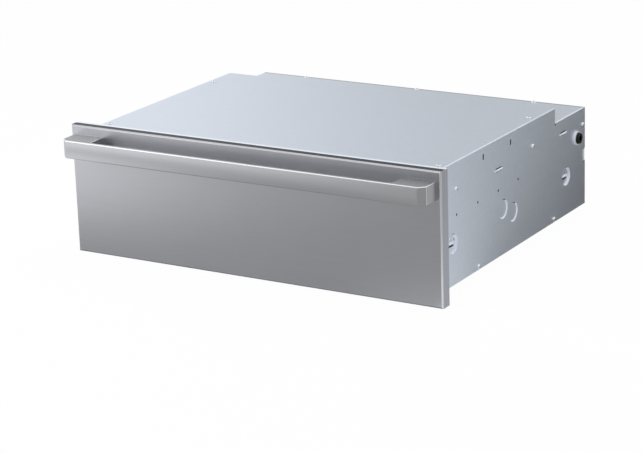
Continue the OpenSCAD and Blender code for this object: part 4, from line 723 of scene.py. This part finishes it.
# Brightness on each card: a base, plus amounts that come in from near to far along a direction
cardHeight = floorLook["height"] + 0.5 * mm
alongX, alongY, fromSide = (1, 0, 0), (0, 1, 0), (-0.88, 0.47, 0)
cardLook = {
    # Lies before the panel: its near half shows in the panel, its far half in the handle and above it
    "front card": {"size": (4.0, 2.61), "centre": (-0.2, -1.33, cardHeight), "base": 0.37, "ramps": [
        {"amount": 1.0, "along": [(alongX, -0.11, -0.88), (alongY, -0.06, -0.5)]},
        {"amount": -0.9, "along": [(alongX, -0.2, -0.78), (alongY, -0.46, -0.58)]},
        {"amount": 0.1, "along": [(alongX, -0.2, -0.7), (alongY, -0.6, -0.66)]},
        {"amount": 0.12, "along": [(alongX, -0.4, 0.0), (alongY, -0.52, -0.6)]},
        {"amount": 0.08, "along": [(alongY, -0.62, -0.66)]},
        {"amount": 0.2, "along": [(alongX, 0.1, 0.45), (alongY, -0.35, -0.05)]},
        {"amount": 0.35, "along": [(alongX, -0.35, -0.9), (alongY, -0.9, -1.3)]},
        {"amount": -0.4, "along": [(alongX, -0.5, 0.0), (alongY, -0.8, -1.0)]}]},
    # Lies beside the chassis: the side sheet gets darker towards the back
    "side card": {"size": (2.6, 3.4), "centre": (1.66, 1.6, cardHeight), "base": 0.06, "ramps": [
        {"amount": 0.25, "along": [(fromSide, 0.04, -0.22)], "curve": "LINEAR"},
        {"amount": 0.39, "along": [(fromSide, -0.19, -0.33)]}]},
    # Stands behind: the top sheets get lighter towards the left
    "rear card": {"size": (5.6, 5.0), "centre": (-2.5, 3.6, 2.3), "upright": True, "base": 0.6, "ramps": [
        {"amount": 0.4, "along": [(alongX, -1.4, -3.0)]}]},
    # Stands before: light from the left for what the handle and the panel's band reflect in turn
    "sky card": {"size": (7.0, 3.4), "centre": (-2.0, -3.3, 1.75), "upright": True, "base": 0.03, "ramps": [
        {"amount": 2.0, "along": [(alongX, -1.3, -2.9)]}]},
}
for name, look in cardLook.items():
    gradientCard(name, look)

# Fill is how much light the white background gives, seen is how bright it looks
worldLook = {"fill": 0.55, "seen": 1.0}
world = bpy.data.worlds.new("studio")
scene.world = world
world.use_nodes = True
tree = world.node_tree
tree.nodes.clear()
strength = addNode(tree, "ShaderNodeMapRange", Value=seenDirectly(tree), To_Min=worldLook["fill"],
                   To_Max=worldLook["seen"]).outputs[0]
backdrop = addNode(tree, "ShaderNodeBackground", Color=(1, 1, 1, 1), Strength=strength).outputs[0]
addNode(tree, "ShaderNodeOutputWorld", Surface=backdrop)


def softbox(name, look):
    lamp = bpy.data.lights.new(name, "AREA")
    lamp.shape = "RECTANGLE"
    lamp.size, lamp.size_y = look["size"]
    lamp.energy = look["power"]
    holder = bpy.data.objects.new(name, lamp)
    scene.collection.objects.link(holder)
    # Metal shows the cards and the white background, not the lamps' own shapes
    holder.visible_glossy = False
    aim = (Vector(look["aim"]) - Vector(look["place"])).to_track_quat("-Z", "Y").to_matrix().to_4x4()
    holder.matrix_world = Matrix.Translation(look["place"]) @ aim


lampLook = {
    "key softbox": {"place": (-1.6, -1.4, 2.2), "aim": (0, 0.2, 0.1), "size": (1.6, 1.2), "power": 28},
    "top softbox": {"place": (0.2, 0.6, 2.6), "aim": (0, 0.3, 0.2), "size": (1.8, 1.8), "power": 18},
}
for name, look in lampLook.items():
    softbox(name, look)
print("studio:", len(cardLook), "cards,", len(lampLook), "lamps")

# Camera solved from straight edges in the photograph: degrees, and the lens in mm on a 36 mm sensor
cameraLook = {"place": (2.0906, -3.2248, 1.2693), "azimuth": 31.2901, "down": 17.3031, "roll": -1.9277,
              "lens": 127.82, "sensor": 36, "far": 50}
turn, down, roll = (math.radians(cameraLook[k]) for k in ("azimuth", "down", "roll"))
ahead = Vector((-math.sin(turn) * math.cos(down), math.cos(turn) * math.cos(down), -math.sin(down)))
level = Vector((math.cos(turn), math.sin(turn), 0))
upward = level.cross(ahead)
right = math.cos(roll) * level + math.sin(roll) * upward
top = -math.sin(roll) * level + math.cos(roll) * upward
lens = bpy.data.cameras.new("camera")
lens.lens = cameraLook["lens"]
lens.sensor_width = cameraLook["sensor"]
lens.clip_end = cameraLook["far"]
camera = bpy.data.objects.new("camera", lens)
scene.collection.objects.link(camera)
basis = Matrix((right, top, -ahead)).transposed().to_4x4()
camera.matrix_world = Matrix.Translation(cameraLook["place"]) @ basis
scene.camera = camera
scene.view_settings.view_transform = "Standard"
print("camera:", cameraLook["lens"], "mm")
